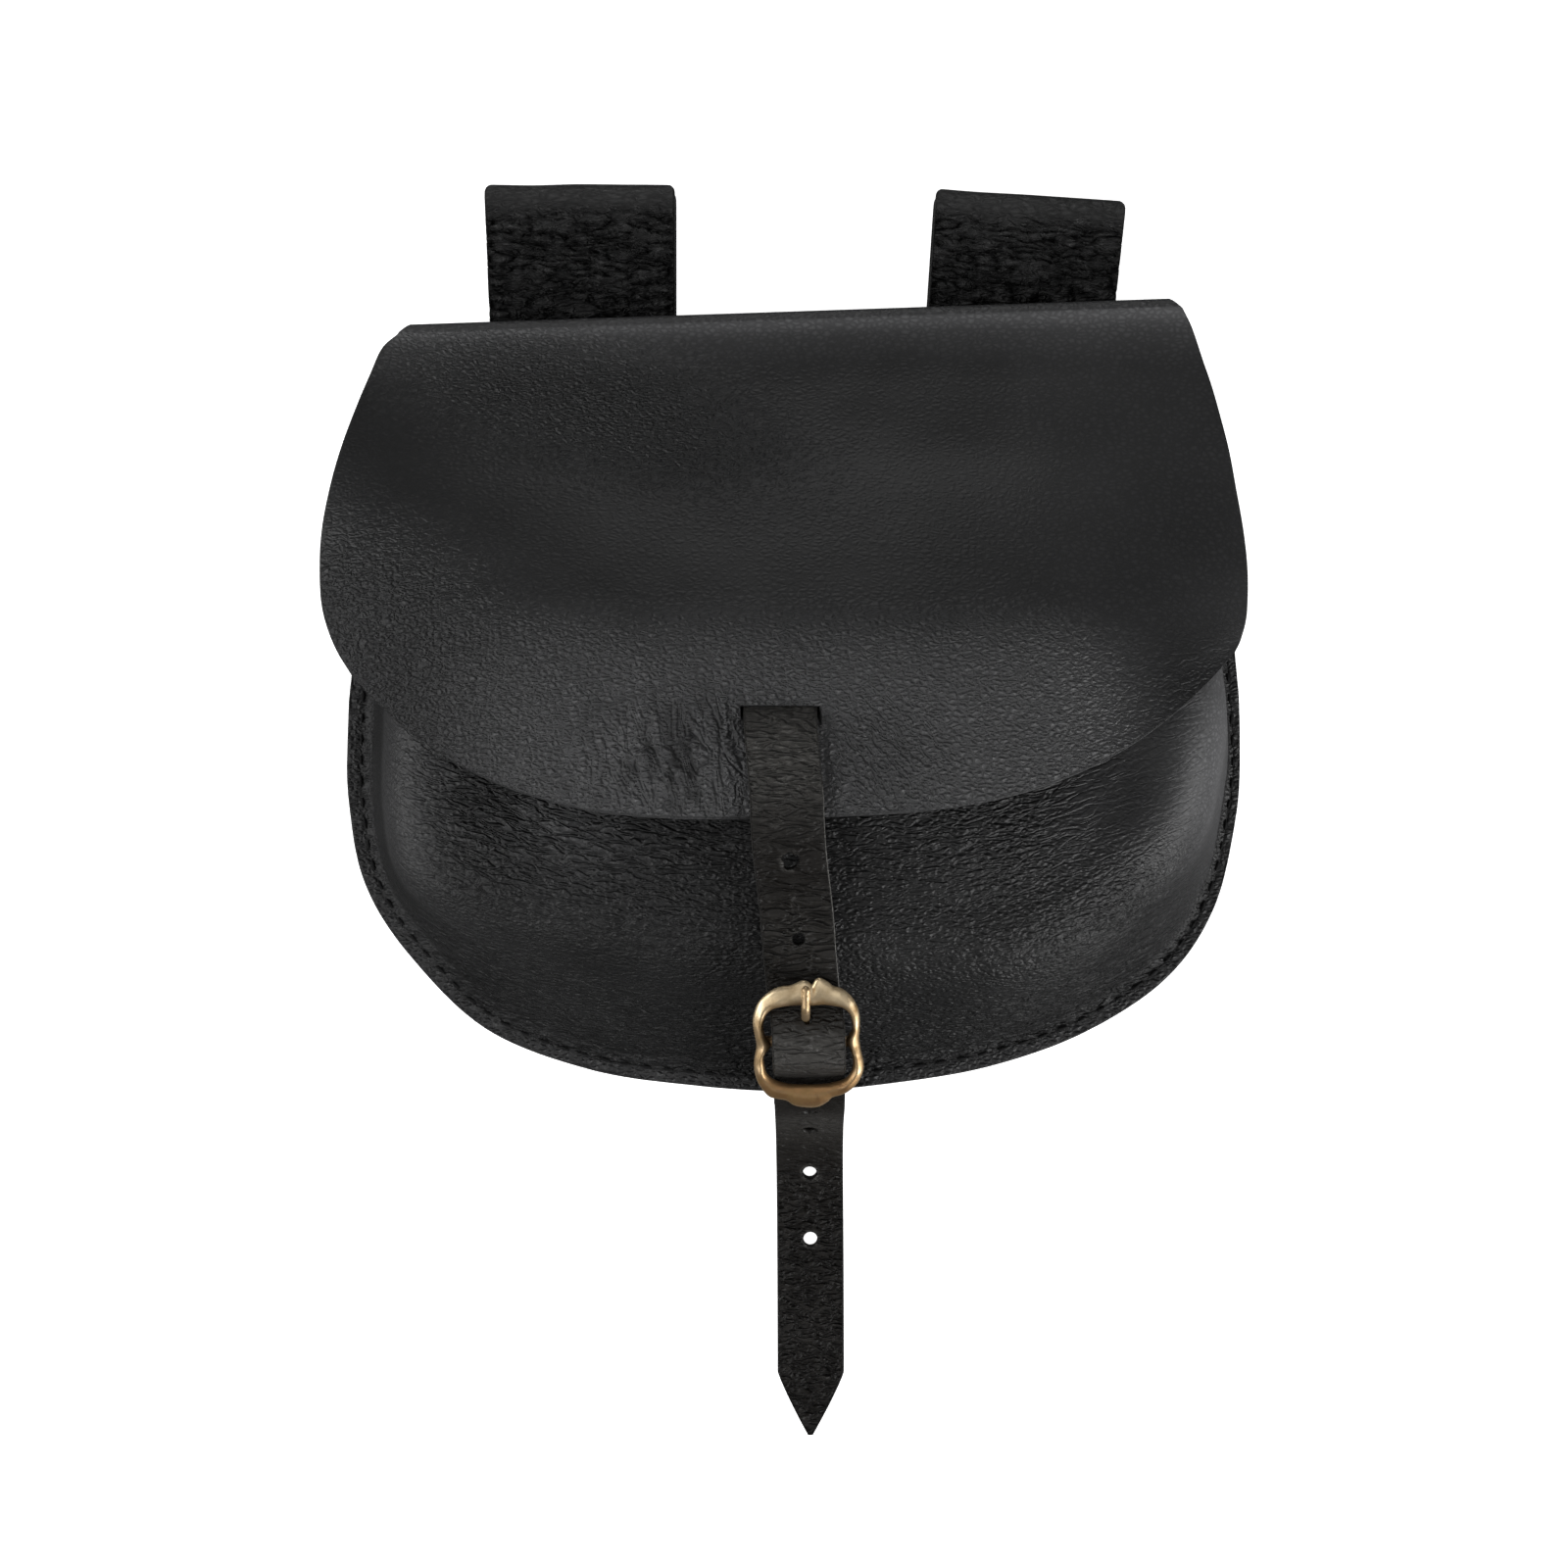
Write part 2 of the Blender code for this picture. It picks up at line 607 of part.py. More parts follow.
def strapHalfWidths(y):
    """Half the strap's width: wide under the flap, parallel outside it and pointed at the end."""
    half = np.full_like(y, strapWidth / 2)
    half += (strapTabWidth - strapWidth) / 2 * ease((y - slitY - strapTabNeck) / 2.5)
    towardsTip = np.clip((pointLength - bagDrop - tailReach - y) / pointLength, 0, 1)
    return half * (1 - pointNarrowing * towardsTip ** 1.15)


def makeStrap(material):
    line = strapMiddleLine(strapSteps)
    half = strapHalfWidths(line[:, 1])
    across = np.linspace(-1, 1, 5)
    middle = np.repeat(line[:, None], len(across), axis=1)
    along = unit(np.gradient(line, axis=0))
    up = unit(np.cross(np.array((1.0, 0, 0)), -along))
    middle[:, :, 0] += half[:, None] * across[None]
    normals = np.repeat(up[:, None], len(across), axis=1)
    outer = middle + normals * strapLeather / 2
    piece = addPiece("flap_strap", *sheetSolid(outer, strapLeather, normals), material)
    fromTip = np.append(np.cumsum(np.linalg.norm(np.diff(line, axis=0), axis=1)[::-1])[::-1], 0.0)
    for index, spacings in enumerate(punchedHoles):
        y = np.interp(spacings * holeSpacing, fromTip[::-1], line[::-1, 1])
        combine(piece, punchTool(f"punch_cutter_{index}", line, up, y, (punchRadius, punchRadius)), "DIFFERENCE")
    start, end = (upperBar()[0] - buckleLength * math.cos(buckleLean) * along for along in pinHoleAlong)
    radii = (pinHoleWidth / 2, 0.5 * (start - end))
    combine(piece, punchTool("pin_hole_cutter", line, up, 0.5 * (start + end), radii), "DIFFERENCE")
    return piece


def punchTool(name, line, up, y, radii):
    """A punch square to the strap at a place along it."""
    order = np.argsort(line[:, 1])
    centre = np.array([np.interp(y, line[order, 1], line[order, axis]) for axis in range(3)])
    axis = unit(np.array([np.interp(y, line[order, 1], up[order, index]) for index in range(3)]))
    reach = 1.6 * strapLeather
    ends = np.array((centre - axis * reach, centre + axis * reach))
    return addPiece(name, *tubeSolid(ends, radii), None)


# The buckle
def upperBar():
    """The upper bar's centre as y and z."""
    return upperBarRise - bagDrop, bagDepth + upperBarLift


def onBuckle(along, out):
    """The y and z of a place on the buckle: how far above its middle bar, and how far out of its plane."""
    y, z = upperBar()
    along = along - buckleLength / 2
    cosine, sine = math.cos(buckleLean), math.sin(buckleLean)
    return y + along * cosine - out * sine, z + along * sine + out * cosine


def makeFrame(material):
    outline = readColumns(frameOutline, frameColumns)
    halfSizes = {"X": buckleWidth / 2, "Y": buckleLength / 2}
    outerX, outerY, innerX, innerY = (outline[name] * halfSizes[name[-1]] for name in frameColumns)
    middleX, middleY = 0.5 * (outerX + innerX), 0.5 * (outerY + innerY)
    reachX, reachY = 0.5 * (outerX - innerX), 0.5 * (outerY - innerY)
    points = []
    for turn in np.arange(frameSides) * 2 * math.pi / frameSides:
        alongs = middleY + reachY * math.cos(turn)
        y, z = onBuckle(alongs, frameThickness / 2 * math.sin(turn))
        points.append(np.stack((buckleX + middleX + reachX * math.cos(turn), y, z), axis=-1))
    points = np.array(points).transpose(1, 0, 2)
    rings = len(points)
    faces = []
    for ring in range(rings):
        following = (ring + 1) % rings * frameSides
        for side in range(frameSides):
            beside = (side + 1) % frameSides
            faces.append((ring * frameSides + side, ring * frameSides + beside, following + beside, following + side))
    piece = addPiece("buckle_frame", points.reshape(-1, 3), faces, material)
    y, z = onBuckle(0, -middleBarDrop)
    waist = np.abs(outerY) < 0.15 * buckleLength
    reach = float(np.min(np.abs(middleX[waist])))
    ends = ((buckleX - reach, y, z), (buckleX + reach, y, z))
    bar = addPiece("middle_bar_tool", *tubeSolid(ends, middleBarRadius, 10, False, (0.0, 0.0, 1.0)), None)
    combine(piece, bar, "UNION")
    return piece


def makePin(material):
    """The pin, bent round the middle bar, up through the strap and resting on the upper bar."""
    ring = middleBarRadius + gap + pinRadius
    turn = np.radians(np.linspace(-215, 72, 15))
    bend = [(ring * math.cos(a), ring * math.sin(a) - middleBarDrop) for a in turn]
    over = frameThickness / 2 + gap + pinRadius
    shaft = [pinKnee, (pinOverBar[0], over), (pinOverBar[1], over), (pinOverBar[2], over - gap)]
    radii = [pinRadius] * (len(bend) + 2) + [pinRadius * 0.95, pinRadius * 0.6]
    line = np.array([(buckleX + pinAside, *onBuckle(along, out)) for along, out in bend + shaft])
    widths = np.array(radii)[:, None] * np.ones(2)
    return addPiece("buckle_pin", *tubeSolid(line, widths, 8), material)


def makeAnchor(material):
    """The buckle's own strap: folded round the middle bar, both plies sewn down on the flange at the bottom."""
    barY, barZ = onBuckle(0, -middleBarDrop)
    radius = middleBarRadius + gap + anchorLeather
    plyStep = anchorLeather + gap / 2
    endY, endZ = -bagDrop - anchorPast, flangeTop + anchorSeat + plyStep
    places = np.linspace(0, len(anchorRoute) - 1, 11)
    anchor = readColumns(anchorRoute, anchorColumns)
    sway, down, low = (smoothThrough(anchor[name], places) for name in anchorColumns)
    x = buckleX + sway * (buckleX - slitX)
    middle = np.stack((barY + (endY - barY) * down, barZ + (endZ - barZ) * low), axis=-1)
    along = unit(np.gradient(middle, axis=0))
    outward = np.stack((along[:, 1], -along[:, 0]), axis=-1)
    start = math.degrees(math.atan2(outward[0, 1], outward[0, 0]))
    front = middle - outward * plyStep
    rear = middle + outward * plyStep
    turn = np.radians(np.linspace(start - 10, start - 200, 10))
    bend = np.stack((barY + radius * np.cos(turn), barZ + radius * np.sin(turn)), axis=-1)
    section = np.concatenate((rear[::-1], bend, front))
    centreX = np.concatenate((x[::-1], np.full(len(bend), x[0]), x))
    offsets = anchorWidth * np.linspace(-0.5, 0.5, 4)
    grid = np.array([[(here + offset, y, z) for offset in offsets] for here, (y, z) in zip(centreX, section)])
    piece = addPiece("buckle_strap", *sheetSolid(grid, anchorLeather, -gridNormals(grid)), material)
    pinX, room = buckleX + pinAside, pinRadius + 2 * gap
    reach = radius + pinSlotSpare
    low = (pinX - room, barY - reach, barZ - reach)
    high = (pinX + room, barY + reach, barZ + reach)
    slot = boxTool("pin_slot_cutter", low, high)
    combine(piece, slot, "DIFFERENCE")
    return piece


def main():
    for leftOver in list(bpy.data.objects):
        bpy.data.objects.remove(leftOver, do_unlink=True)
    leather = addMaterial("black_leather", (0.021, 0.021, 0.022), 0.55)
    darkLeather = addMaterial("black_loop_leather", (0.012, 0.012, 0.013), 0.6)
    brass = addMaterial("aged_brass", (0.40, 0.25, 0.12), 0.4, 1.0)
    makeBackAndFlap(leather)
    makeFront(leather)
    makeLoop("belt_loop_left", leftLoopX, leftLoopTop, 0.0, darkLeather)
    makeLoop("belt_loop_right", rightLoopX, rightLoopTop, math.radians(rightLoopTurn), darkLeather)
    makeStrap(darkLeather)
    makeAnchor(darkLeather)
    makeFrame(brass)
    makePin(brass)


main()
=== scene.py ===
# A moulded black leather belt pouch with a buckled flap, lying on its back on a pale table.
# Sizes in the dictionaries are millimetres; +X is the pouch's right, +Y its top and +Z its front.
import math

import bpy
import numpy as np
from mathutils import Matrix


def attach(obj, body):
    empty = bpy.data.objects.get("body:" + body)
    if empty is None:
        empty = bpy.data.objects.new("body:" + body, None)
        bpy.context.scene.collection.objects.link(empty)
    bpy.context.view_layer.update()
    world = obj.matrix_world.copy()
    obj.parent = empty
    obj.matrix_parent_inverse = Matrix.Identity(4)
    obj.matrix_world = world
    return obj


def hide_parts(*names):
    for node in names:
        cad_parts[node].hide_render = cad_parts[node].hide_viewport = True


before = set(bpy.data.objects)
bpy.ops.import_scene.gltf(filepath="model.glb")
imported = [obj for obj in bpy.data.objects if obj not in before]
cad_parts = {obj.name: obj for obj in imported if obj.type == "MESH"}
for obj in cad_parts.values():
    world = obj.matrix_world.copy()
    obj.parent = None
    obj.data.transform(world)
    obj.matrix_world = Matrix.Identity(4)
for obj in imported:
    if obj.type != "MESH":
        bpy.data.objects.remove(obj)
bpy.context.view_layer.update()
mm = 0.001
print("frame loaded")


# Helpers for objects and for the nodes of materials
def addToScene(name, data):
    thing = bpy.data.objects.new(name, data)
    bpy.context.scene.collection.objects.link(thing)
    return thing


def setInputs(tree, node, inputs):
    # gives a node's inputs plain values, or the sockets that feed them
    for name, value in inputs.items():
        if isinstance(value, bpy.types.NodeSocket):
            tree.links.new(value, node.inputs[name])
        else:
            node.inputs[name].default_value = value


def addNode(tree, kind, inputs=None, **settings):
    node = tree.nodes.new(kind)
    for name, value in settings.items():
        setattr(node, name, value)
    setInputs(tree, node, inputs or {})
    return node


def newMaterial(name):
    material = bpy.data.materials.new(name)
    material.use_nodes = True
    return material, material.node_tree, material.node_tree.nodes["Principled BSDF"]


# Camera, table and lights
view = {
    "camera": (-2.3, -19.3, 530.0),
    "lens": 51.64,
    "sensor": 36.0,
    "nearest": 10.0,
    "tableColour": (0.96, 0.96, 0.96),
    "tableRoughness": 0.9,
    "tableGlow": 0.9,
    "tableHalfSize": 1500.0,
    "tableDrop": 0.2,
    "worldLight": 0.06,
    # where each lamp is, how wide it is and its power in watts
    "lamps": {
        "left_window": ((-860.0, 0.0, 400.0), 800.0, 7.4),
        "right_window": ((845.0, -370.0, 240.0), 700.0, 5.8),
        "front_window": ((640.0, -640.0, 295.0), 450.0, 6.5),
        "back_window": ((0.0, 910.0, 260.0), 450.0, 1.5),
        "low_window": ((-510.0, -510.0, 610.0), 450.0, 2.5),
        "ceiling": ((0.0, 0.0, 950.0), 800.0, 1.7),
    },
}


def placeCamera():
    camera = addToScene("camera", bpy.data.cameras.new("camera"))
    camera.location = [value * mm for value in view["camera"]]
    camera.data.lens = view["lens"]
    camera.data.sensor_width = view["sensor"]
    camera.data.clip_start = view["nearest"] * mm
    bpy.context.scene.camera = camera


def placeTable():
    half, z = view["tableHalfSize"] * mm, -view["tableDrop"] * mm
    corners = [(-half, -half, z), (half, -half, z), (half, half, z), (-half, half, z)]
    mesh = bpy.data.meshes.new("table")
    mesh.from_pydata(corners, [], [(0, 1, 2, 3)])
    paint, tree, shader = newMaterial("table_paint")
    setInputs(tree, shader, {
        "Base Color": (*view["tableColour"], 1),
        "Roughness": view["tableRoughness"],
        "Emission Color": (1, 1, 1, 1),
        "Emission Strength": view["tableGlow"],
    })
    mesh.materials.append(paint)
    table = addToScene("table", mesh)
    table.visible_glossy = False  # dark leather would mirror the white table


def placeLights():
    world = bpy.data.worlds.new("soft_room")
    world.use_nodes = True
    room = {"Color": (1, 1, 1, 1), "Strength": view["worldLight"]}
    setInputs(world.node_tree, world.node_tree.nodes["Background"], room)
    bpy.context.scene.world = world
    bpy.context.scene.view_settings.view_transform = "Standard"
    for name, (place, width, power) in view["lamps"].items():
        lamp = bpy.data.lights.new(name, "AREA")
        lamp.size = width * mm
        lamp.energy = power
        holder = addToScene(name, lamp)
        holder.location = [value * mm for value in place]
        holder.visible_camera = False
        away = np.array(place) / np.linalg.norm(place)
        holder.rotation_euler = (math.acos(away[2]), 0, math.atan2(away[1], away[0]) + math.pi / 2)


# Small helpers for curves, noise and meshes
def columnsThrough(rows, place):
    # smooth curves through the columns of a table, at places counted in rows
    table = np.array(rows, float)
    table = np.vstack((2 * table[0] - table[1], table, 2 * table[-1] - table[-2])).T
    place = np.clip(place, 0, len(rows) - 1)
    row = np.minimum(place.astype(int), len(rows) - 2)
    t = place - row
    before, start, end, after = (table[:, row + step] for step in range(4))
    bend = 2 * before - 5 * start + 4 * end - after
    twist = 3 * (start - end) + after - before
    return start + 0.5 * t * (end - before + t * (bend + t * twist))


def ease(value):
    value = np.clip(value, 0, 1)
    return value * value * (3 - 2 * value)


def bump(distance, width):
    # a smooth hill, 1 in its middle
    return np.exp(-(distance / width) ** 2)


def unit(vectors):
    return vectors / np.maximum(np.linalg.norm(vectors, axis=-1, keepdims=True), 1e-9)


def gridNormals(points):
    return unit(np.cross(np.gradient(points, axis=0), np.gradient(points, axis=1)))


def bezier(start, corner, end, t):
    return start * (1 - t) ** 2 + corner * 2 * t * (1 - t) + end * t ** 2


def cloud(x, y, seed):
    # smooth noise from -1 to 1 with a lump in each unit square
    left, low = np.floor(x).astype(np.int64), np.floor(y).astype(np.int64)
    across, up = ease(x - left), ease(y - low)

    def lump(i, j):
        mixed = (i * 374761393 + j * 668265263 + seed * 974634777) & 0xFFFFFFFF
        mixed = ((mixed ^ (mixed >> 13)) * 1274126177) & 0xFFFFFFFF
        return ((mixed ^ (mixed >> 16)) & 0xFFFF) / 32767.5 - 1

    lower = lump(left, low) * (1 - across) + lump(left + 1, low) * across
    upper = lump(left, low + 1) * (1 - across) + lump(left + 1, low + 1) * across
    return lower * (1 - up) + upper * up


def turned(x, y, angle, spacing, length):
    # along and across coordinates of creases at an angle in degrees, counted in creases
    cosine, sine = math.cos(math.radians(angle)), math.sin(math.radians(angle))
    return (x * cosine + y * sine) / length, (y * cosine - x * sine) / spacing


def wrinkles(x, y, angle, spacing, length, seed):
    # soft creases from 0 to 1 that run at an angle in degrees
    along, across = turned(x, y, angle, spacing, length)
    across = across + 0.6 * cloud(along * 1.3, across * 0.3, seed + 7)
    folds = 1 - np.abs(cloud(along, across, seed)) * 1.6
    finer = 1 - np.abs(cloud(along * 1.9 + 5, across * 1.9, seed + 3)) * 1.6
    return np.clip(0.65 * folds + 0.35 * finer, 0, 1)


def patch(x, y, centre, size, turn=0.0):
    # a soft-edged oval, 1 in its middle
    along, across = turned(x - centre[0], y - centre[1], turn, size[1], size[0])
    return np.exp(-along ** 2 - across ** 2)


def travelled(line):
    # how far along a line each of its points is
    return np.append(0, np.cumsum(np.linalg.norm(np.diff(line, axis=0), axis=1)))


def outwardAtBorder(grid):
    # the in-surface direction out of the grid at each point of its border
    out = np.zeros_like(grid)
    out[0] += unit(grid[0] - grid[1])
    out[-1] += unit(grid[-1] - grid[-2])
    out[:, 0] += unit(grid[:, 0] - grid[:, 1])
    out[:, -1] += unit(grid[:, -1] - grid[:, -2])
    return unit(out)


# rings of points between the two faces of a leather sheet, and how far inside a corner its round edge lies
rimRings = 4
arcShare = 0.29


def sheetBody(outer, thickness, normals, relief=None, edgeRound=0.45):
    # points and faces of a leather sheet with rounded edges; relief is the height of its outer face's creases
    rows, columns = outer.shape[:2]
    inner = outer - normals * thickness
    out = outwardAtBorder(outer)
    top = outer.copy() if relief is None else outer + normals * relief[..., None]
    count = rows * columns
    border = [(0, c) for c in range(columns)] + [(r, columns - 1) for r in range(1, rows)]
    border += [(rows - 1, c) for c in range(columns - 2, -1, -1)] + [(r, 0) for r in range(rows - 2, 0, -1)]
    indexR, indexC = np.array(border).T
    rimOut, rimNormal = out[indexR, indexC], normals[indexR, indexC]
    rimTop, rimLow = top[indexR, indexC], inner[indexR, indexC]
    top[indexR, indexC] = rimTop - rimOut * edgeRound
    inner[indexR, indexC] = rimLow - rimOut * edgeRound
    rings = [
        rimTop - (rimOut + rimNormal) * edgeRound * arcShare,
        rimTop - rimNormal * edgeRound,
        rimLow + rimNormal * edgeRound,
        rimLow - (rimOut - rimNormal) * edgeRound * arcShare,
    ]
    faces = []
    for start in range(0, count - columns, columns):
        for k in range(start, start + columns - 1):
            faces.append((k, k + columns, k + columns + 1, k + 1))
            faces.append((count + k, count + k + 1, count + k + columns + 1, count + k + columns))
    belts = [[r * columns + c for r, c in border]]
    for ring in range(rimRings):
        belts.append([2 * count + ring * len(border) + index for index in range(len(border))])
    belts.append([count + r * columns + c for r, c in border])
    for upper, lower in zip(belts, belts[1:]):
        for here in range(len(border)):
            following = (here + 1) % len(border)
            faces.append((upper[here], upper[following], lower[following], lower[here]))
    points = np.concatenate((top.reshape(-1, 3), inner.reshape(-1, 3), *rings))
    return points, faces


def makeObject(name, points, faces, material, attributes=None):
    # a shaded mesh object with its faces turned outwards, from points in millimetres
    mesh = bpy.data.meshes.new(name)
    mesh.from_pydata((np.asarray(points) * mm).tolist(), [], faces)
    mesh.update()
    mesh.calc_loop_triangles()
    corners = np.empty(len(mesh.loop_triangles) * 3, np.int64)
    mesh.loop_triangles.foreach_get("vertices", corners)
    a, b, c = (np.asarray(points, float)[corners.reshape(-1, 3)[:, k]] for k in range(3))
    if np.einsum("ij,ij->i", a, np.cross(b, c)).sum() < 0:
        mesh.flip_normals()
    mesh.shade_smooth()
    for key, values in (attributes or {}).items():
        values = np.asarray(values, np.float32)
        kind, field = ("FLOAT", "value") if values.ndim == 1 else ("FLOAT_VECTOR", "vector")
        mesh.attributes.new(key, kind, "POINT").data.foreach_set(field, values.ravel())
    mesh.materials.append(material)
    return addToScene(name, mesh)


def surfaceFields(points, grain, wearAndPaintedLight, crease, flow, rimWearAndLight=0.2, rimGrain=0.4):
    # what the leather's material reads, from grids over the outer face; the inner face is plain. The paleness
    # grid is wear and painted light, and the cut edges take their own share of it
    count = grain.size
    rest = len(points) - 2 * count
    flow = np.stack((*flow, np.zeros_like(flow[0])), -1).reshape(-1, 3)
    return {
        "grain": np.concatenate((grain.ravel(), grain.ravel(), np.full(rest, rimGrain))),
        "wearAndPaintedLight": np.concatenate((wearAndPaintedLight.ravel(), np.zeros(count), np.full(rest, rimWearAndLight))),
        "crease": np.concatenate((crease.ravel(), np.zeros(count + rest))),
        "flow": np.concatenate((flow, flow, np.zeros((rest, 3)))),
    }


def fixedMesh(piece):
    # bakes an object's modifiers into a plain mesh and takes them off
    baked = bpy.data.meshes.new_from_object(piece.evaluated_get(bpy.context.evaluated_depsgraph_get()))
    piece.modifiers.clear()
    if piece.type == "MESH":
        piece.data = baked
        return piece
    name = piece.name
    bpy.data.objects.remove(piece, do_unlink=True)
    return addToScene(name, baked)


def combined(piece, others, operation):
    # cuts the others' shapes out of a piece, or joins them to it
    for other in others:
        change = piece.modifiers.new(other.name, "BOOLEAN")
        change.operation = operation
        change.solver = "EXACT"
        change.object = other
    piece = fixedMesh(piece)
    for other in others:
        bpy.data.objects.remove(other, do_unlink=True)
    return piece


def prism(name, ring, push, material):
    # a closed knife from a ring of points, pushed both ways
    count = len(ring)
    sides = [(k, (k + 1) % count, count + (k + 1) % count, count + k) for k in range(count)]
    caps = [tuple(range(count - 1, -1, -1)), tuple(range(count, 2 * count))]
    return makeObject(name, np.concatenate((ring - push, ring + push)), sides + caps, material)


def finishPiece(piece, slot, *nodes):
    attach(piece, "root")
    if nodes:
        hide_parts(*nodes)


# Leather, brass and thread
bagLeatherLook = {
    "colour": (0.0070, 0.0071, 0.0073),
    "wearAndLightColour": (0.094, 0.094, 0.0965),
    "roughness": 0.40,
    "specular": 0.28,
    "pebble": 1.35,
    "pebbleDepth": 0.7,
    "stretch": (0.8, 1.25, 1.0),
}
frontLeatherLook = {**bagLeatherLook, "colour": (0.0056, 0.0056, 0.0057), "roughness": 0.42, "specular": 0.25}
strapLeatherLook = {
    "colour": (0.0046, 0.0038, 0.0031),
    "wearAndLightColour": (0.175, 0.17, 0.16),
    "roughness": 0.40,
    "specular": 0.14,
    "pebble": 1.5,
    "pebbleDepth": 0.4,
    "stretch": (0.55, 1.4, 1.0),
}
loopLeatherLook = {
    "colour": (0.0022, 0.0022, 0.0023),
    "wearAndLightColour": (0.125, 0.125, 0.125),
    "roughness": 0.26,
    "specular": 0.11,
    "pebble": 1.5,
    "pebbleDepth": 0.5,
    "stretch": (0.5, 1.3, 1.0),
}
# what the leathers share: the grain's sizes as shares of a pebble, how the dye lies, and how the pale mask of
# wear and painted light falls on the grain, full on the tops of pebbles and less in the lines between them,
# where shade is painted
leatherGrain = {
    "waverScale": 0.9,
    "waverReach": 0.55,
    "pebbleEdge": 0.45,
    "poreScale": 2.4,
    "poreDepth": 0.5,
    "creaseTwist": 0.4,
    "creaseEdge": 0.14,
    "dyeScale": 45,
    "dyeRange": (0.35, 0.75),
    "dyeUneven": 0.05,
    "paleInShadedLines": 0.45,
    "paleOnTops": 0.85,
    "lineRoughness": 0.25,
}
brassLook = {
    "bevelColour": (0.27, 0.15, 0.065),
    "rimColour": (0.68, 0.54, 0.345),
    "agedColour": (0.20, 0.125, 0.05),
    "metallic": 0.8,
    "roughness": 0.32,
    "agedRoughness": 0.57,
    "tarnishScale": 260,
    "tarnishRange": (0.42, 0.72),
    "pitScale": 1400,
    "pitDepth": 0.05,
    "pitStrength": 0.6,
}
threadLook = {
    "colour": (0.002, 0.002, 0.0022),
    "roughness": 0.8,
    "specular": 0.2,
    "strandScale": 4000,
    "strandDepth": 0.05,
}


def objectPlace(tree):
    return addNode(tree, "ShaderNodeTexCoord").outputs["Object"]


def attribute(tree, name, output="Fac"):
    return addNode(tree, "ShaderNodeAttribute", attribute_name=name).outputs[output]


def noise(tree, place, scale, detail, output="Fac"):
    inputs = {"Vector": place, "Scale": scale, "Detail": detail}
    return addNode(tree, "ShaderNodeTexNoise", inputs).outputs[output]


def maths(tree, operation, *values, clamp=False):
    node = addNode(tree, "ShaderNodeMath", dict(enumerate(values)), operation=operation, use_clamp=clamp)
    return node.outputs["Value"]


def remapped(tree, value, fromMin=0.0, fromMax=1.0, toMin=0.0, toMax=1.0, kind="LINEAR"):
    inputs = {"Value": value, "From Min": fromMin, "From Max": fromMax, "To Min": toMin, "To Max": toMax}
    return addNode(tree, "ShaderNodeMapRange", inputs, interpolation_type=kind).outputs["Result"]


def mixed(tree, share, first, second):
    inputs = {"Factor": share, "A": first, "B": second}
    return addNode(tree, "ShaderNodeMix", inputs, data_type="RGBA").outputs["Result"]


def bumped(tree, height, distance, strength=1.0):
    inputs = {"Height": height, "Distance": distance, "Strength": strength}
    return addNode(tree, "ShaderNodeBump", inputs).outputs["Normal"]


def leatherMaterial(name, look):
    material, tree, shader = newMaterial(name)
    pebble = look["pebble"] * mm
    place, grain = objectPlace(tree), attribute(tree, "grain")
    stretch = {"Vector": place, "Scale": look["stretch"]}
    stretched = addNode(tree, "ShaderNodeMapping", stretch).outputs["Vector"]

    # a waver bends the pebbles' edges a little, so that no two look alike
    waver = noise(tree, stretched, leatherGrain["waverScale"] / pebble, 2, "Color")
    bend = {0: waver, 1: [pebble * leatherGrain["waverReach"]] * 3, 2: stretched}
    bent = addNode(tree, "ShaderNodeVectorMath", bend, operation="MULTIPLY_ADD").outputs["Vector"]
    cells = {"Vector": bent, "Scale": 1 / pebble}
    edges = addNode(tree, "ShaderNodeTexVoronoi", cells, feature="DISTANCE_TO_EDGE").outputs["Distance"]
    pebbles = remapped(tree, edges, fromMax=leatherGrain["pebbleEdge"], kind="SMOOTHSTEP")
    pores = noise(tree, stretched, leatherGrain["poreScale"] / pebble, 3)
    rough = maths(tree, "MULTIPLY_ADD", pores, leatherGrain["poreDepth"], pebbles)
    pebbled = maths(tree, "MULTIPLY", maths(tree, "MULTIPLY", rough, grain), look["pebbleDepth"])

    # creases follow the piece's own flow; crease is their depth in millimetres
    flow = attribute(tree, "flow", "Vector")
    twisted = {"Vector": flow, "Scale": 1, "Detail": 2, "Distortion": leatherGrain["creaseTwist"]}
    folds = addNode(tree, "ShaderNodeTexNoise", twisted, noise_dimensions="2D").outputs["Fac"]
    fromFold = maths(tree, "ABSOLUTE", maths(tree, "SUBTRACT", folds, 0.5))
    puffs = remapped(tree, fromFold, fromMax=leatherGrain["creaseEdge"], kind="SMOOTHSTEP")
    creased = maths(tree, "MULTIPLY_ADD", puffs, attribute(tree, "crease"), pebbled)

    # the mask of wear and painted light makes the leather paler, more on the tops of pebbles than in the
    # lines between them, which is painted shade in the grain; the dye also lies unevenly
    dye = noise(tree, place, leatherGrain["dyeScale"], 4)
    dyeFrom, dyeTo = leatherGrain["dyeRange"]
    uneven = remapped(tree, dye, dyeFrom, dyeTo, toMax=leatherGrain["dyeUneven"])
    tops = remapped(tree, pebbles, toMin=leatherGrain["paleInShadedLines"], toMax=leatherGrain["paleOnTops"])
    paleShare = maths(tree, "MULTIPLY_ADD", attribute(tree, "wearAndPaintedLight"), tops, uneven, clamp=True)
    lines = remapped(tree, pebbles, toMin=leatherGrain["lineRoughness"], toMax=0.0)
    setInputs(tree, shader, {
        "Base Color": mixed(tree, paleShare, (*look["colour"], 1), (*look["wearAndLightColour"], 1)),
        "Roughness": maths(tree, "MULTIPLY_ADD", lines, grain, look["roughness"]),
        "Specular IOR Level": look["specular"],
        "Normal": bumped(tree, creased, mm),
    })
    return material


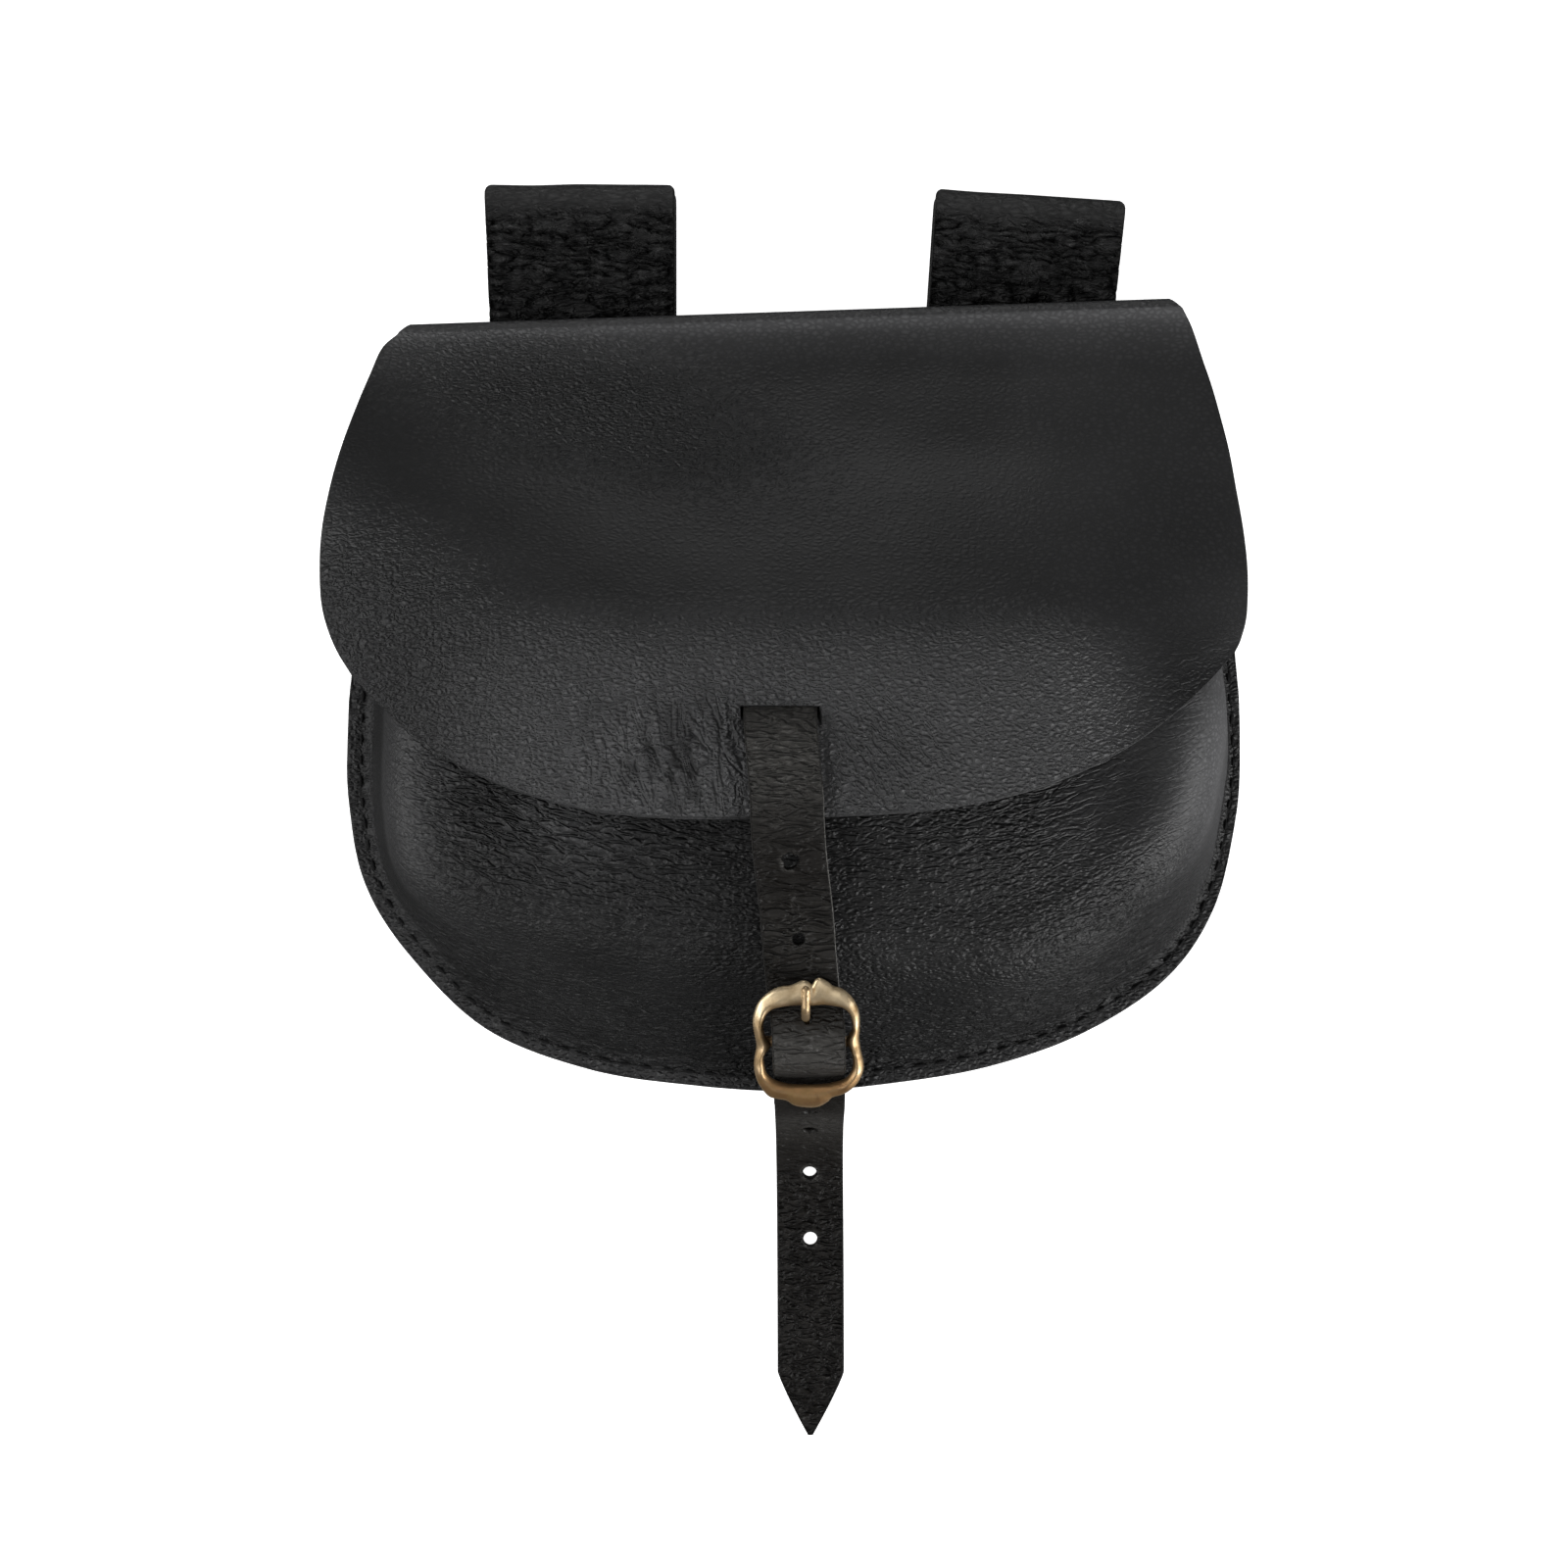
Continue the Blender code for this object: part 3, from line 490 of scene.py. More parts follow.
def brassMaterial(name, look):
    material, tree, shader = newMaterial(name)
    place = objectPlace(tree)
    tarnish = remapped(tree, noise(tree, place, look["tarnishScale"], 5), *look["tarnishRange"])
    # brown bevel to pale rim: the rims are rubbed pale, and light is painted on the upper bar and along the
    # lower bar's crest
    clean = mixed(tree, attribute(tree, "paled"), (*look["bevelColour"], 1), (*look["rimColour"], 1))
    pits = noise(tree, place, look["pitScale"], 3)
    setInputs(tree, shader, {
        "Base Color": mixed(tree, tarnish, clean, (*look["agedColour"], 1)),
        "Metallic": look["metallic"],
        "Roughness": remapped(tree, tarnish, toMin=look["roughness"], toMax=look["agedRoughness"]),
        "Normal": bumped(tree, pits, look["pitDepth"] * mm, look["pitStrength"]),
    })
    return material


def threadMaterial(name, look):
    material, tree, shader = newMaterial(name)
    strands = noise(tree, objectPlace(tree), look["strandScale"], 2)
    setInputs(tree, shader, {
        "Base Color": (*look["colour"], 1),
        "Roughness": look["roughness"],
        "Specular IOR Level": look["specular"],
        "Normal": bumped(tree, strands, look["strandDepth"] * mm),
    })
    return material


# The bag's outline and the ridge of its front, which the back, the front and the stitching share
bag = {
    "width": 208.8,
    "drop": 91.2,
    "mouthRise": 41.5,
    "depth": 50.5,
    "leather": 2.0,
    "gap": 0.3,
    # left of the mouth round the bottom to its right: edge x and y, ridge x, y and height, as shares
    "stations": (
        (-0.929, 1.0, -0.805, 0.976, 0.475),
        (-0.977, 0.41, -0.833, 0.386, 0.614),
        (-1.0, -0.077, -0.843, -0.077, 0.733),
        (-0.996, -0.274, -0.841, -0.285, 0.772),
        (-0.96, -0.471, -0.8, -0.439, 0.802),
        (-0.862, -0.65, -0.67, -0.521, 0.881),
        (-0.69, -0.84, -0.489, -0.559, 0.941),
        (-0.462, -0.943, -0.259, -0.603, 0.98),
        (-0.235, -0.984, -0.115, -0.625, 0.996),
        (0.0, -1.0, 0.029, -0.63, 1.0),
        (0.23, -0.978, 0.22, -0.63, 0.996),
        (0.446, -0.934, 0.45, -0.641, 0.97),
        (0.655, -0.847, 0.642, -0.554, 0.911),
        (0.834, -0.711, 0.761, -0.422, 0.842),
        (0.939, -0.537, 0.838, -0.296, 0.782),
        (0.987, -0.323, 0.886, -0.132, 0.752),
        (1.0, -0.126, 0.906, 0.072, 0.681),
        (0.988, 0.289, 0.9, 0.482, 0.59),
        (0.956, 1.0, 0.872, 0.976, 0.475),
    ),
    "mouthMiddle": (0.019, 1.012, 0.545),
}
lastStation = len(bag["stations"]) - 1


def bagStation(station):
    # edge x and y, ridge x, y and z in millimetres at places counted in stations
    edgeX, edgeY, ridgeX, ridgeY, ridgeZ = columnsThrough(bag["stations"], station)
    aboutOrigin = lambda shares: shares * np.where(shares > 0, bag["mouthRise"], bag["drop"])
    half = bag["width"] / 2
    return edgeX * half, aboutOrigin(edgeY), ridgeX * half, aboutOrigin(ridgeY), ridgeZ * bag["depth"]


# The flap and the back, one piece of leather
flap = {
    "foldLeftY": 86.4,
    "foldRightY": 92.4,
    "foldHalfWidth": 87.5,
    "foldMiddle": -1.04,
    "foldUnderside": 9.8,
    "foldRadius": 2.6,
    "top": 56.2,
    "sag": 33.5,
    "cornerPower": 3.1,
    "droopPower": 3.2,
    # from the fold to the front edge: left x and y, right x and y, sag, and left, middle and right heights
    "sections": (
        (-0.871, 0.97, 0.853, 0.972, 0.0, 0.0, 0.0, 0.0),
        (-0.905, 0.932, 0.874, 0.922, 0.006, 0.005, 0.015, 0.005),
        (-0.929, 0.862, 0.895, 0.844, 0.018, 0.029, 0.058, 0.029),
        (-0.954, 0.778, 0.916, 0.758, 0.036, 0.073, 0.136, 0.073),
        (-0.982, 0.671, 0.943, 0.622, 0.066, 0.131, 0.267, 0.131),
        (-1.003, 0.565, 0.958, 0.503, 0.134, 0.184, 0.437, 0.184),
        (-1.018, 0.44, 0.969, 0.395, 0.254, 0.243, 0.619, 0.243),
        (-1.018, 0.33, 0.972, 0.298, 0.403, 0.301, 0.777, 0.306),
        (-1.007, 0.226, 0.966, 0.2, 0.597, 0.359, 0.888, 0.359),
        (-0.979, 0.133, 0.951, 0.141, 0.791, 0.403, 0.956, 0.398),
        (-0.937, 0.052, 0.934, 0.107, 1.0, 0.437, 1.0, 0.437),
    ),
    "backFlatTo": 43.0,
    "backOverEnds": 52.0,
    "secondClimb": (58.0, 14.0),
    "endsThick": 4.6,
    "across": 236,
    "backRows": 34,
    "foldRows": 12,
    "flapRows": 128,
    # middle, width and length of the slit, and how far it leans for each millimetre of leather
    "slit": (-3.1, -4.9, 16.8, 2.8),
    "slitLean": 1.25,
    "backTop": 78.0,
    "foldOverTo": 80.0,
    "foldHighlightRows": 7.5,
    "foldHighlightWidth": 17.0,
    # soft dents: height, length, width and seed
    "dents": ((0.12, 34, 22, 11), (0.05, 11, 7, 12)),
    # the folds pulled towards the strap: angle, spacing, length and seed
    "pulledFolds": (-74, 3.0, 12, 21),
    "foldDepth": 0.8,
    # fine creases: angle, spacing and length, on the plain flap, where it is pulled and right of the strap
    "creases": ((6, 1.6, 3.4), (-76, 3.6, 9), (-50, 2.2, 4)),
    # how strong a mark is where its own creases start
    "markEdge": 0.25,
    # how much each place adds in grain, in painted light and in depth of the creases; the light is a painted
    # highlight low down, far left and on the pulled crests, with painted shade in the pulled folds, and a
    # painted highlight along the fold
    "grain": {"plain": 0.06, "low": 1.15, "farLeft": 1.2, "upperLeft": 0.6, "pulled": 0.5, "right": 0.4},
    "wearAndPaintedLight": {"low": 0.92, "farLeft": 0.5, "pulled": 0.5, "folds": 1.5, "fold": 0.6},
    "creaseDepth": {"low": 0.4, "farLeft": 1.1, "upperLeft": 0.3, "pulled": 3.0, "right": 1.8},
}
lastSection = len(flap["sections"]) - 1
# the middle, the reach and the turn of marks on the flap
flapMarks = {
    "pulledFolds": ((-22, -15), (21, 13)),
    "pulled": ((-22, -15), (24, 14)),
    "rightOfStrap": ((17, -14), (17, 14)),
    "farLeft": ((-96, 8), (24, 20)),
    "upperLeft": ((-50, 69), (42, 14), -20),
}


def backRise(y):
    climb = ease((y - flap["backFlatTo"]) / (flap["backOverEnds"] - flap["backFlatTo"])) * flap["endsThick"]
    start, run = flap["secondClimb"]
    return climb + ease((y - start) / run) * (flap["foldUnderside"] - flap["endsThick"])


def foldRow(angle, u):
    roundedBy = flap["foldRadius"] * (1 - math.cos(angle))
    x = flap["foldMiddle"] + (flap["foldHalfWidth"] + roundedBy) * u
    y = flap["foldLeftY"] + (flap["foldRightY"] - flap["foldLeftY"]) * 0.5 * (u + 1) - roundedBy
    z = flap["foldUnderside"] + flap["foldRadius"] * (1 + math.sin(angle))
    return np.stack((x, y, np.full_like(u, z)), -1)


def flapPoints(place, u):
    leftX, leftY, rightX, rightY, sag, leftZ, middleZ, rightZ = columnsThrough(flap["sections"], place)
    ends = 0.5 * (u + 1)
    x = (leftX + (rightX - leftX) * ends) * bag["width"] / 2
    y = leftY * flap["foldLeftY"] * (1 - ends) + rightY * flap["foldRightY"] * ends
    y = y - sag * flap["sag"] * (1 - np.abs(u) ** flap["cornerPower"])
    rise = middleZ + (np.where(u < 0, leftZ, rightZ) - middleZ) * np.abs(u) ** flap["droopPower"]
    foldTop = flap["foldUnderside"] + 2 * flap["foldRadius"]
    return np.stack((x, y, foldTop + (flap["top"] - foldTop) * rise), -1)


def flapHeight(y):
    # the height of the flap's outer face along its middle
    points = flapPoints(np.linspace(0, lastSection, 400), np.zeros(400))
    return np.interp(y, points[::-1, 1], points[::-1, 2])


def flapRelief(x, y):
    # the flap's soft dents and the folds pulled towards the strap, in millimetres
    pulled = patch(x, y, *flapMarks["pulledFolds"]) * ease((flap["slit"][0] - 6 - x) / 6)
    dents = sum(height * cloud(x / length, y / width, seed) for height, length, width, seed in flap["dents"])
    return dents - flap["foldDepth"] * pulled * wrinkles(x, y, *flap["pulledFolds"]) ** 2


def flapSurface(x, y):
    # grain, painted light and shade, depth of the creases and their flow over the flap's outer face
    low = ease((24 - y) / 26)
    inner = ease((90 - np.abs(x + 2)) / 36)
    smoothRight = 1 - 0.85 * ease((x - 48) / 30) * ease((y + 22) / 14)
    farLeft = patch(x, y, *flapMarks["farLeft"])
    upperLeft = patch(x, y, *flapMarks["upperLeft"])
    pulled = patch(x, y, *flapMarks["pulled"]) * ease((flap["slit"][0] - 5 - x) / 5)
    rightOf = patch(x, y, *flapMarks["rightOfStrap"]) * ease((x - flap["slit"][0] - 8) / 4)
    plain = np.clip(1 - 4 * np.maximum(pulled, rightOf), 0, 1)

    adds = flap["grain"]
    grain = adds["plain"] + adds["low"] * low * (0.45 + 0.55 * inner) + adds["farLeft"] * farLeft
    grain = (grain + adds["upperLeft"] * upperLeft) * smoothRight + adds["pulled"] * pulled
    grain = grain + adds["right"] * rightOf
    # painted light: a broad painted highlight over the low flap, a little painted light above it that grows
    # to the right, a painted highlight far left, and painted highlights on the pulled crests with painted
    # shade in their folds
    adds = flap["wearAndPaintedLight"]
    wearAndPaintedLight = adds["low"] * low * inner + (0.05 + 0.2 * ease((x - 30) / 40)) * (1 - low)
    wearAndPaintedLight = wearAndPaintedLight + adds["farLeft"] * farLeft
    wearAndPaintedLight = wearAndPaintedLight + pulled * (adds["pulled"] - adds["folds"] * wrinkles(x, y, *flap["pulledFolds"]) ** 2)
    adds, edge = flap["creaseDepth"], flap["markEdge"]
    crease = adds["low"] * low * plain + adds["farLeft"] * farLeft + adds["upperLeft"] * upperLeft
    crease = crease * smoothRight + adds["pulled"] * np.maximum(pulled - edge, 0) / (1 - edge)
    crease = crease + adds["right"] * np.maximum(rightOf - edge, 0) / (1 - edge)
    pick = np.where(pulled > edge, 1, np.where(rightOf > edge, 2, 0))
    flows = [turned(x, y, *creases) for creases in flap["creases"]]
    return grain, wearAndPaintedLight, crease, [np.choose(pick, [flow[k] for flow in flows]) for k in range(2)]


def makeFlapAndBack(material):
    u = np.linspace(-1, 1, flap["across"] + 1)
    ends = 0.5 * (u + 1)
    edgeX, edgeY = bagStation(ends * lastStation)[:2]
    top = foldRow(-math.pi / 2, u)
    flatTo, half = flap["backFlatTo"], flap["backRows"] // 2
    heights = [edgeY + (flatTo - edgeY) * part for part in np.linspace(0, 1, half)]
    heights += [np.full_like(u, level) for level in np.linspace(flatTo, flap["backTop"], half)[1:]]
    rows = []
    for y in heights:
        x = edgeX + (top[:, 0] - edgeX) * (y - edgeY) / (top[:, 1] - edgeY)
        rows.append(np.stack((x, y, backRise(y)), -1))
    backRows = len(rows)
    foldStart, foldEnd = -math.pi / 2, math.radians(flap["foldOverTo"])
    rows += [foldRow(angle, u) for angle in np.linspace(foldStart, foldEnd, flap["foldRows"])]
    flapStart = len(rows)
    rows += [flapPoints(place, u) for place in np.linspace(0, lastSection, flap["flapRows"])]
    grid = np.array(rows)
    normals = gridNormals(grid)
    y = grid[:backRows, :, 1]
    slope = (backRise(y + 0.1) - backRise(y - 0.1)) / 0.2
    normals[:backRows] = unit(np.stack((np.zeros_like(y), slope, -np.ones_like(y)), -1))

    x, y = grid[..., 0], grid[..., 1]
    onFlap = np.zeros(grid.shape[:2])
    onFlap[flapStart:] = 1
    points, faces = sheetBody(grid, bag["leather"], normals, flapRelief(x, y) * onFlap)
    grain, wearAndPaintedLight, crease, flow = flapSurface(x, y)
    # a painted highlight along the fold, and a painted highlight in a band below it that grows to the right
    foldHighlight = bump(np.arange(len(grid)) - flapStart - 1, flap["foldHighlightRows"])[:, None]
    foldLine = flap["foldLeftY"] + (flap["foldRightY"] - flap["foldLeftY"]) * ends
    nearFold = ease(1 - (foldLine - y) / flap["foldHighlightWidth"])
    wearAndPaintedLight = (wearAndPaintedLight + (0.36 + 0.2 * ease((x + 60) / 50)) * nearFold) * onFlap + flap["wearAndPaintedLight"]["fold"] * foldHighlight
    # the flap's cut edges are paler, and paler than other pieces' as a painted highlight along them
    attributes = surfaceFields(points, 0.2 + (grain - 0.2) * onFlap, wearAndPaintedLight, crease * onFlap, flow, 0.4)
    piece = makeObject("flap_and_back", points, faces, material, attributes)

    # the slit leans like the strap that comes up through it
    slitX, slitY, slitWide, slitLong = flap["slit"]
    z = float(flapHeight(slitY))
    ring = np.array([(slitX, slitY + side * slitLong / 2 - rise * flap["slitLean"], z + rise)
                     for side, rise in ((-1, -4), (1, -4), (1, 3), (-1, 3))])
    knife = prism("slit_knife", ring, np.array((slitWide / 2, 0, 0)), material)
    finishPiece(combined(piece, [knife], "DIFFERENCE"), "bag_leather", "back_and_flap")


# The moulded front and its sewn flange
front = {
    "flangeTop": 4.3,
    "flangeWidth": 5.0,
    "footInset": 0.6,
    "footRound": 2.4,
    "leftRound": 10.0,
    "rightRound": 18.0,
    "bottomRound": 14.0,
    "faceBulge": 9.0,
    "faceStartLift": 6.0,
    "spokes": 340,
    # points over the flange, its foot, the wall, the ridge and the face
    "rings": (8, 6, 26, 12, 62),
    "seamInset": 3.4,
    "seamGroove": 0.3,
    "seamGrooveWidth": 0.5,
    # the fine creases' spacing and length, and how they sag towards the sides and climb with the height
    "creases": (1.7, 5.5),
    "creaseSag": 0.0016,
    "creaseTilt": 0.3,
    # how much each place adds in grain, in wear and painted light, and in depth of the creases, or takes
    # away; the flange is paler from wear, the side ridges from wear and a painted highlight, and the right
    # shoulder, a patch of the face and the left ridge take painted highlights
    "grain": {"plain": 0.4, "flange": 0.2, "ridge": 0.24, "lumps": 0.1, "foot": 0.25, "ends": 0.2,
              "right": 0.85},
    "leastGrain": 0.03,
    "wearAndPaintedLight": {"flange": 0.22, "ridge": 0.25, "right": 0.32, "faceSheen": 0.55, "leftRidge": 0.35},
    "creaseDepth": {"face": 0.4, "right": 0.3, "patch": 1.6, "sides": 0.8, "low": 1.0, "foot": 1.2},
}
# the middle, the reach and the turn of marks on the front; the face patch, the left ridge and the right wall
# marks place painted highlights
frontMarks = {
    "faceSheen": ((-50, -30), (14, 14)),
    "creasedFace": ((-54, -26), (24, 12), -14),
    "leftRidge": ((-82, -22), (8, 24)),
    "rightWall": ((98, -14), (10, 26)),
}


def frontRings(station):
    # rings from the flange's edge over the wall and the ridge to the middle of the mouth, and their kinds:
    # 0 on the flange, 1 on the wall, 2 on the ridge and 3 on the face
    edgeX, edgeY, ridgeX, ridgeY, ridgeZ = bagStation(station)
    edge = np.stack((edgeX, edgeY, np.full_like(edgeX, front["flangeTop"])), -1)
    ridge = np.stack((ridgeX, ridgeY, ridgeZ), -1)
    inward = unit((ridge - edge) * (1, 1, 0))
    foot = edge + inward * (front["flangeWidth"] + front["footInset"])
    mouth = np.array(bag["mouthMiddle"]) * (bag["width"] / 2, bag["mouthRise"], bag["depth"])
    middle = np.broadcast_to(mouth, ridge.shape)
    rightness = (station / lastStation)[:, None]
    bottomness = np.sin(math.pi * rightness) ** 2
    sideRound = front["leftRound"] + (front["rightRound"] - front["leftRound"]) * rightness
    ridgeRound = sideRound + (front["bottomRound"] - sideRound) * bottomness
    wall = unit(ridge - foot)
    face = unit(middle - ridge + (0, 0, front["faceStartLift"]) * bottomness)
    footStart, footEnd = foot - inward * front["footRound"], foot + wall * front["footRound"]
    ridgeStart, ridgeEnd = ridge - wall * ridgeRound, ridge + face * ridgeRound
    bulge = np.array((0, 0, front["faceBulge"])) * bottomness

    flangeSteps, footSteps, wallSteps, ridgeSteps, faceSteps = (
        np.linspace(0, 1, count)[:-1] for count in front["rings"]
    )
    rings = [(0.0, edge + (footStart - edge) * t) for t in flangeSteps]
    rings += [(0.5, bezier(footStart, foot, footEnd, t)) for t in footSteps]
    rings += [(1 + ease((t - 0.5) / 0.5), footEnd + (ridgeStart - footEnd) * t) for t in wallSteps]
    rings += [(2.0, bezier(ridgeStart, ridge, ridgeEnd, t)) for t in ridgeSteps]
    for t in faceSteps:
        rings.append((2 + ease(t / 0.18), ridgeEnd + (middle - ridgeEnd) * t + bulge * 4 * t * (1 - t)))
    return np.array([ring for kind, ring in rings]), np.array([kind for kind, ring in rings]), mouth


def frontRelief(grid, kinds, fromEdge):
    x, y, z = grid[..., 0], grid[..., 1], grid[..., 2]
    kind = kinds[:, None] + np.zeros_like(x)
    onFlange = np.clip(1 - kind, 0, 1)
    onWall = np.clip(1 - np.abs(kind - 1), 0, 1)
    height = 0.3 * cloud(x / 26, y / 18, 31) * ease(kind)
    # the flange is rough and has a groove that the thread lies in
    rough = 0.16 * wrinkles(x, y, 20, 1.6, 2.4, 32) + 0.1 * wrinkles(x, y, 110, 1.9, 3, 33)
    groove = bump(fromEdge - front["seamInset"], front["seamGrooveWidth"]) * np.clip(1.5 - kind, 0, 1)
    height = height - onFlange * rough - front["seamGroove"] * groove
    return height - 0.3 * onWall * ease((12 - z) / 10) * wrinkles(x, y, 30, 2.6, 4, 38)


def frontSurface(x, y, z, kinds):
    # grain, wear and painted light, depth of the creases and their flow over the front's outer face
    kind = kinds[:, None] + np.zeros_like(x)
    onFlange = np.clip(1 - kind, 0, 1)
    onFace = ease(kind - 1.5)
    onWall = np.clip(1 - np.abs(kind - 1), 0, 1)
    onLow = np.clip(1.5 - np.abs(kind - 1.5), 0, 1) * ease((38 - z) / 14)
    atSide = ease((np.abs(x) - 70) / 25)
    ridge = bump(kind - 2, 0.5)
    rightSide = ease((x - 38) / 30) * ease((y + 46) / 22)

    adds, atFoot = front["grain"], ease((20 - z) / 12)
    grain = adds["plain"] + adds["flange"] * onFlange - adds["ridge"] * ridge * atSide
    grain = grain + adds["lumps"] * cloud(x / 15, y / 15, 41)
    grain = grain + adds["foot"] * onWall * atFoot - adds["ends"] * onWall * atSide
    grain = np.maximum(grain * (1 - adds["right"] * rightSide * ease(kind)), front["leastGrain"])
    # wear on the flange; wear and a painted highlight on the side ridges; painted highlights on the right
    # shoulder, a patch of the face, along the left ridge and on the right wall
    adds = front["wearAndPaintedLight"]
    wearAndPaintedLight = adds["flange"] * onFlange + adds["ridge"] * ridge * atSide * ease((y + 50) / 25)
    wearAndPaintedLight = wearAndPaintedLight + adds["right"] * onFace * ease((x - 48) / 24) * ease((y + 52) / 20)
    wearAndPaintedLight = wearAndPaintedLight + adds["faceSheen"] * onFace * patch(x, y, *frontMarks["faceSheen"])
    wearAndPaintedLight = wearAndPaintedLight + adds["leftRidge"] * ease(kind - 1.2) * patch(x, y, *frontMarks["leftRidge"])
    wearAndPaintedLight = wearAndPaintedLight + (kind > 0.9) * patch(x, y, *frontMarks["rightWall"])
    adds, creased = front["creaseDepth"], patch(x, y, *frontMarks["creasedFace"])
    crease = adds["face"] - adds["right"] * rightSide + adds["patch"] * creased
    crease = onFace * crease * (1 - adds["sides"] * atSide)
    crease = crease + onLow * (1 - atSide) * (adds["low"] + adds["foot"] * atFoot)
    spacing, length = front["creases"]
    across = y - front["creaseSag"] * x * x + front["creaseTilt"] * z
    return grain, wearAndPaintedLight, crease, (x / length, across / spacing)


def closedOnMouth(faces, rows, columns, poles):
    # closes the innermost ring on the middle of the mouth, the outer and the inner pole, instead of on a rim
    count = rows * columns
    rimSize = (poles[0] - 2 * count) // rimRings
    start = count - columns
    rimPart = range(columns + rows - 2, 2 * columns + rows - 2)
    closing = {2 * count + ring * rimSize + index for ring in range(rimRings) for index in rimPart}
    closing.update(range(start, count), range(start + count, 2 * count))
    kept = [face for face in faces if not closing.issuperset(face)]
    for here in range(start, count - 1):
        kept.append((here, poles[0], here + 1))
        kept.append((here + count + 1, poles[1], here + count))
    # joins the two rims of the mouth's edge across the poles
    for rimEnd, outerEnd, turn in ((rimPart[0], count - 1, 1), (rimPart[-1], start, -1)):
        chain = [2 * count + ring * rimSize + rimEnd for ring in range(rimRings)]
        kept.append(tuple([outerEnd, *chain, outerEnd + count, poles[1], poles[0]][::turn]))
    return kept


def makeFront(material):
    grid, kinds, mouth = frontRings(np.linspace(0, lastStation, front["spokes"] + 1))
    fromEdge = np.linalg.norm(grid - grid[0], axis=-1)
    relief = frontRelief(grid, kinds, fromEdge) * ease((len(kinds) - 1 - np.arange(len(kinds))) / 6)[:, None]
    points, faces = sheetBody(grid, bag["leather"], -gridNormals(grid), relief)
    faces = closedOnMouth(faces, *grid.shape[:2], (len(points), len(points) + 1))
    points = np.concatenate((points, (mouth, mouth - (0, 0, bag["leather"]))))
    attributes = surfaceFields(points, *frontSurface(grid[..., 0], grid[..., 1], grid[..., 2], kinds))
    piece = makeObject("moulded_front", points, faces, material, attributes)
    finishPiece(piece, "bag_leather", "front_panel")


# The stitching along the flange
seam = {
    "spacing": 4.9,
    "stitchLength": 2.6,
    "threadWidth": 0.95,
    "raise": -0.15,
    "seed": 5,
    "from": 0.05,
    "to": 17.95,
    "sides": 8,
    "rings": 6,
    "swing": 0.12,
    "smallest": 0.8,
    "largest": 1.1,
}


def stitchTree(material):
    tree = bpy.data.node_groups.new("flange_stitching", "GeometryNodeTree")
    face = tree.interface
    face.new_socket("Geometry", in_out="INPUT", socket_type="NodeSocketGeometry")
    for name in ("Spacing", "Stitch Length", "Thread Width"):
        face.new_socket(name, in_out="INPUT", socket_type="NodeSocketFloat")
    face.new_socket("Geometry", in_out="OUTPUT", socket_type="NodeSocketGeometry")
    given = tree.nodes.new("NodeGroupInput").outputs

    places = {"Curve": given["Geometry"], "Length": given["Spacing"]}
    along = addNode(tree, "GeometryNodeCurveToPoints", places, mode="LENGTH").outputs
    ball = {"Segments": seam["sides"], "Rings": seam["rings"], "Radius": 0.5}
    stitch = addNode(tree, "GeometryNodeMeshUVSphere", ball).outputs["Mesh"]

    # each stitch lies along the seam, swings a little and has its own size
    facing = addNode(tree, "FunctionNodeAlignRotationToVector", {"Vector": along["Tangent"]}, axis="X")
    swings = {"Min": (0, 0, -seam["swing"]), "Max": (0, 0, seam["swing"]), "Seed": seam["seed"]}
    swing = addNode(tree, "FunctionNodeRandomValue", swings, data_type="FLOAT_VECTOR").outputs["Value"]
    turn = {"Rotation": facing.outputs["Rotation"], "Rotate By": swing}
    rotation = addNode(tree, "FunctionNodeRotateRotation", turn, rotation_space="LOCAL").outputs["Rotation"]
    sizes = {"Min": seam["smallest"], "Max": seam["largest"], "Seed": seam["seed"] + 1}
    size = addNode(tree, "FunctionNodeRandomValue", sizes, data_type="FLOAT").outputs["Value"]
    sides = {"X": given["Stitch Length"], "Y": given["Thread Width"], "Z": given["Thread Width"]}
    shape = addNode(tree, "ShaderNodeCombineXYZ", sides).outputs["Vector"]
    scale = addNode(tree, "ShaderNodeVectorMath", {"Vector": shape, "Scale": size}, operation="SCALE")

    stitches = {
        "Points": along["Points"],
        "Instance": stitch,
        "Rotation": rotation,
        "Scale": scale.outputs["Vector"],
    }
    copies = addNode(tree, "GeometryNodeInstanceOnPoints", stitches).outputs["Instances"]
    real = addNode(tree, "GeometryNodeRealizeInstances", {"Geometry": copies}).outputs["Geometry"]
    coloured = addNode(tree, "GeometryNodeSetMaterial", {"Geometry": real, "Material": material})
    addNode(tree, "NodeGroupOutput", {"Geometry": coloured.outputs["Geometry"]})
    return tree


def polyCurve(name, points):
    data = bpy.data.curves.new(name, "CURVE")
    data.dimensions = "3D"
    spline = data.splines.new("POLY")
    spline.points.add(len(points) - 1)
    for spot, place in zip(spline.points, points):
        spot.co = (*(np.asarray(place) * mm), 1)
    return addToScene(name, data)


def addTree(piece, tree, values):
    modifier = piece.modifiers.new(tree.name, "NODES")
    modifier.node_group = tree
    for item in tree.interface.items_tree:
        if item.in_out == "INPUT" and item.name in values:
            modifier[item.identifier] = values[item.name]


def makeStitching(material):
    edgeX, edgeY, ridgeX, ridgeY = bagStation(np.linspace(seam["from"], seam["to"], 500))[:4]
    edge = np.stack((edgeX, edgeY, np.full_like(edgeX, front["flangeTop"])), -1)
    inward = unit(np.stack((ridgeX - edgeX, ridgeY - edgeY, np.zeros_like(edgeX)), -1))
    curve = polyCurve("flange_stitches", edge + inward * front["seamInset"] + (0, 0, seam["raise"]))
    addTree(curve, stitchTree(material), {
        "Spacing": seam["spacing"] * mm,
        "Stitch Length": seam["stitchLength"] * mm,
        "Thread Width": seam["threadWidth"] * mm,
    })
    finishPiece(fixedMesh(curve), "bag_leather")


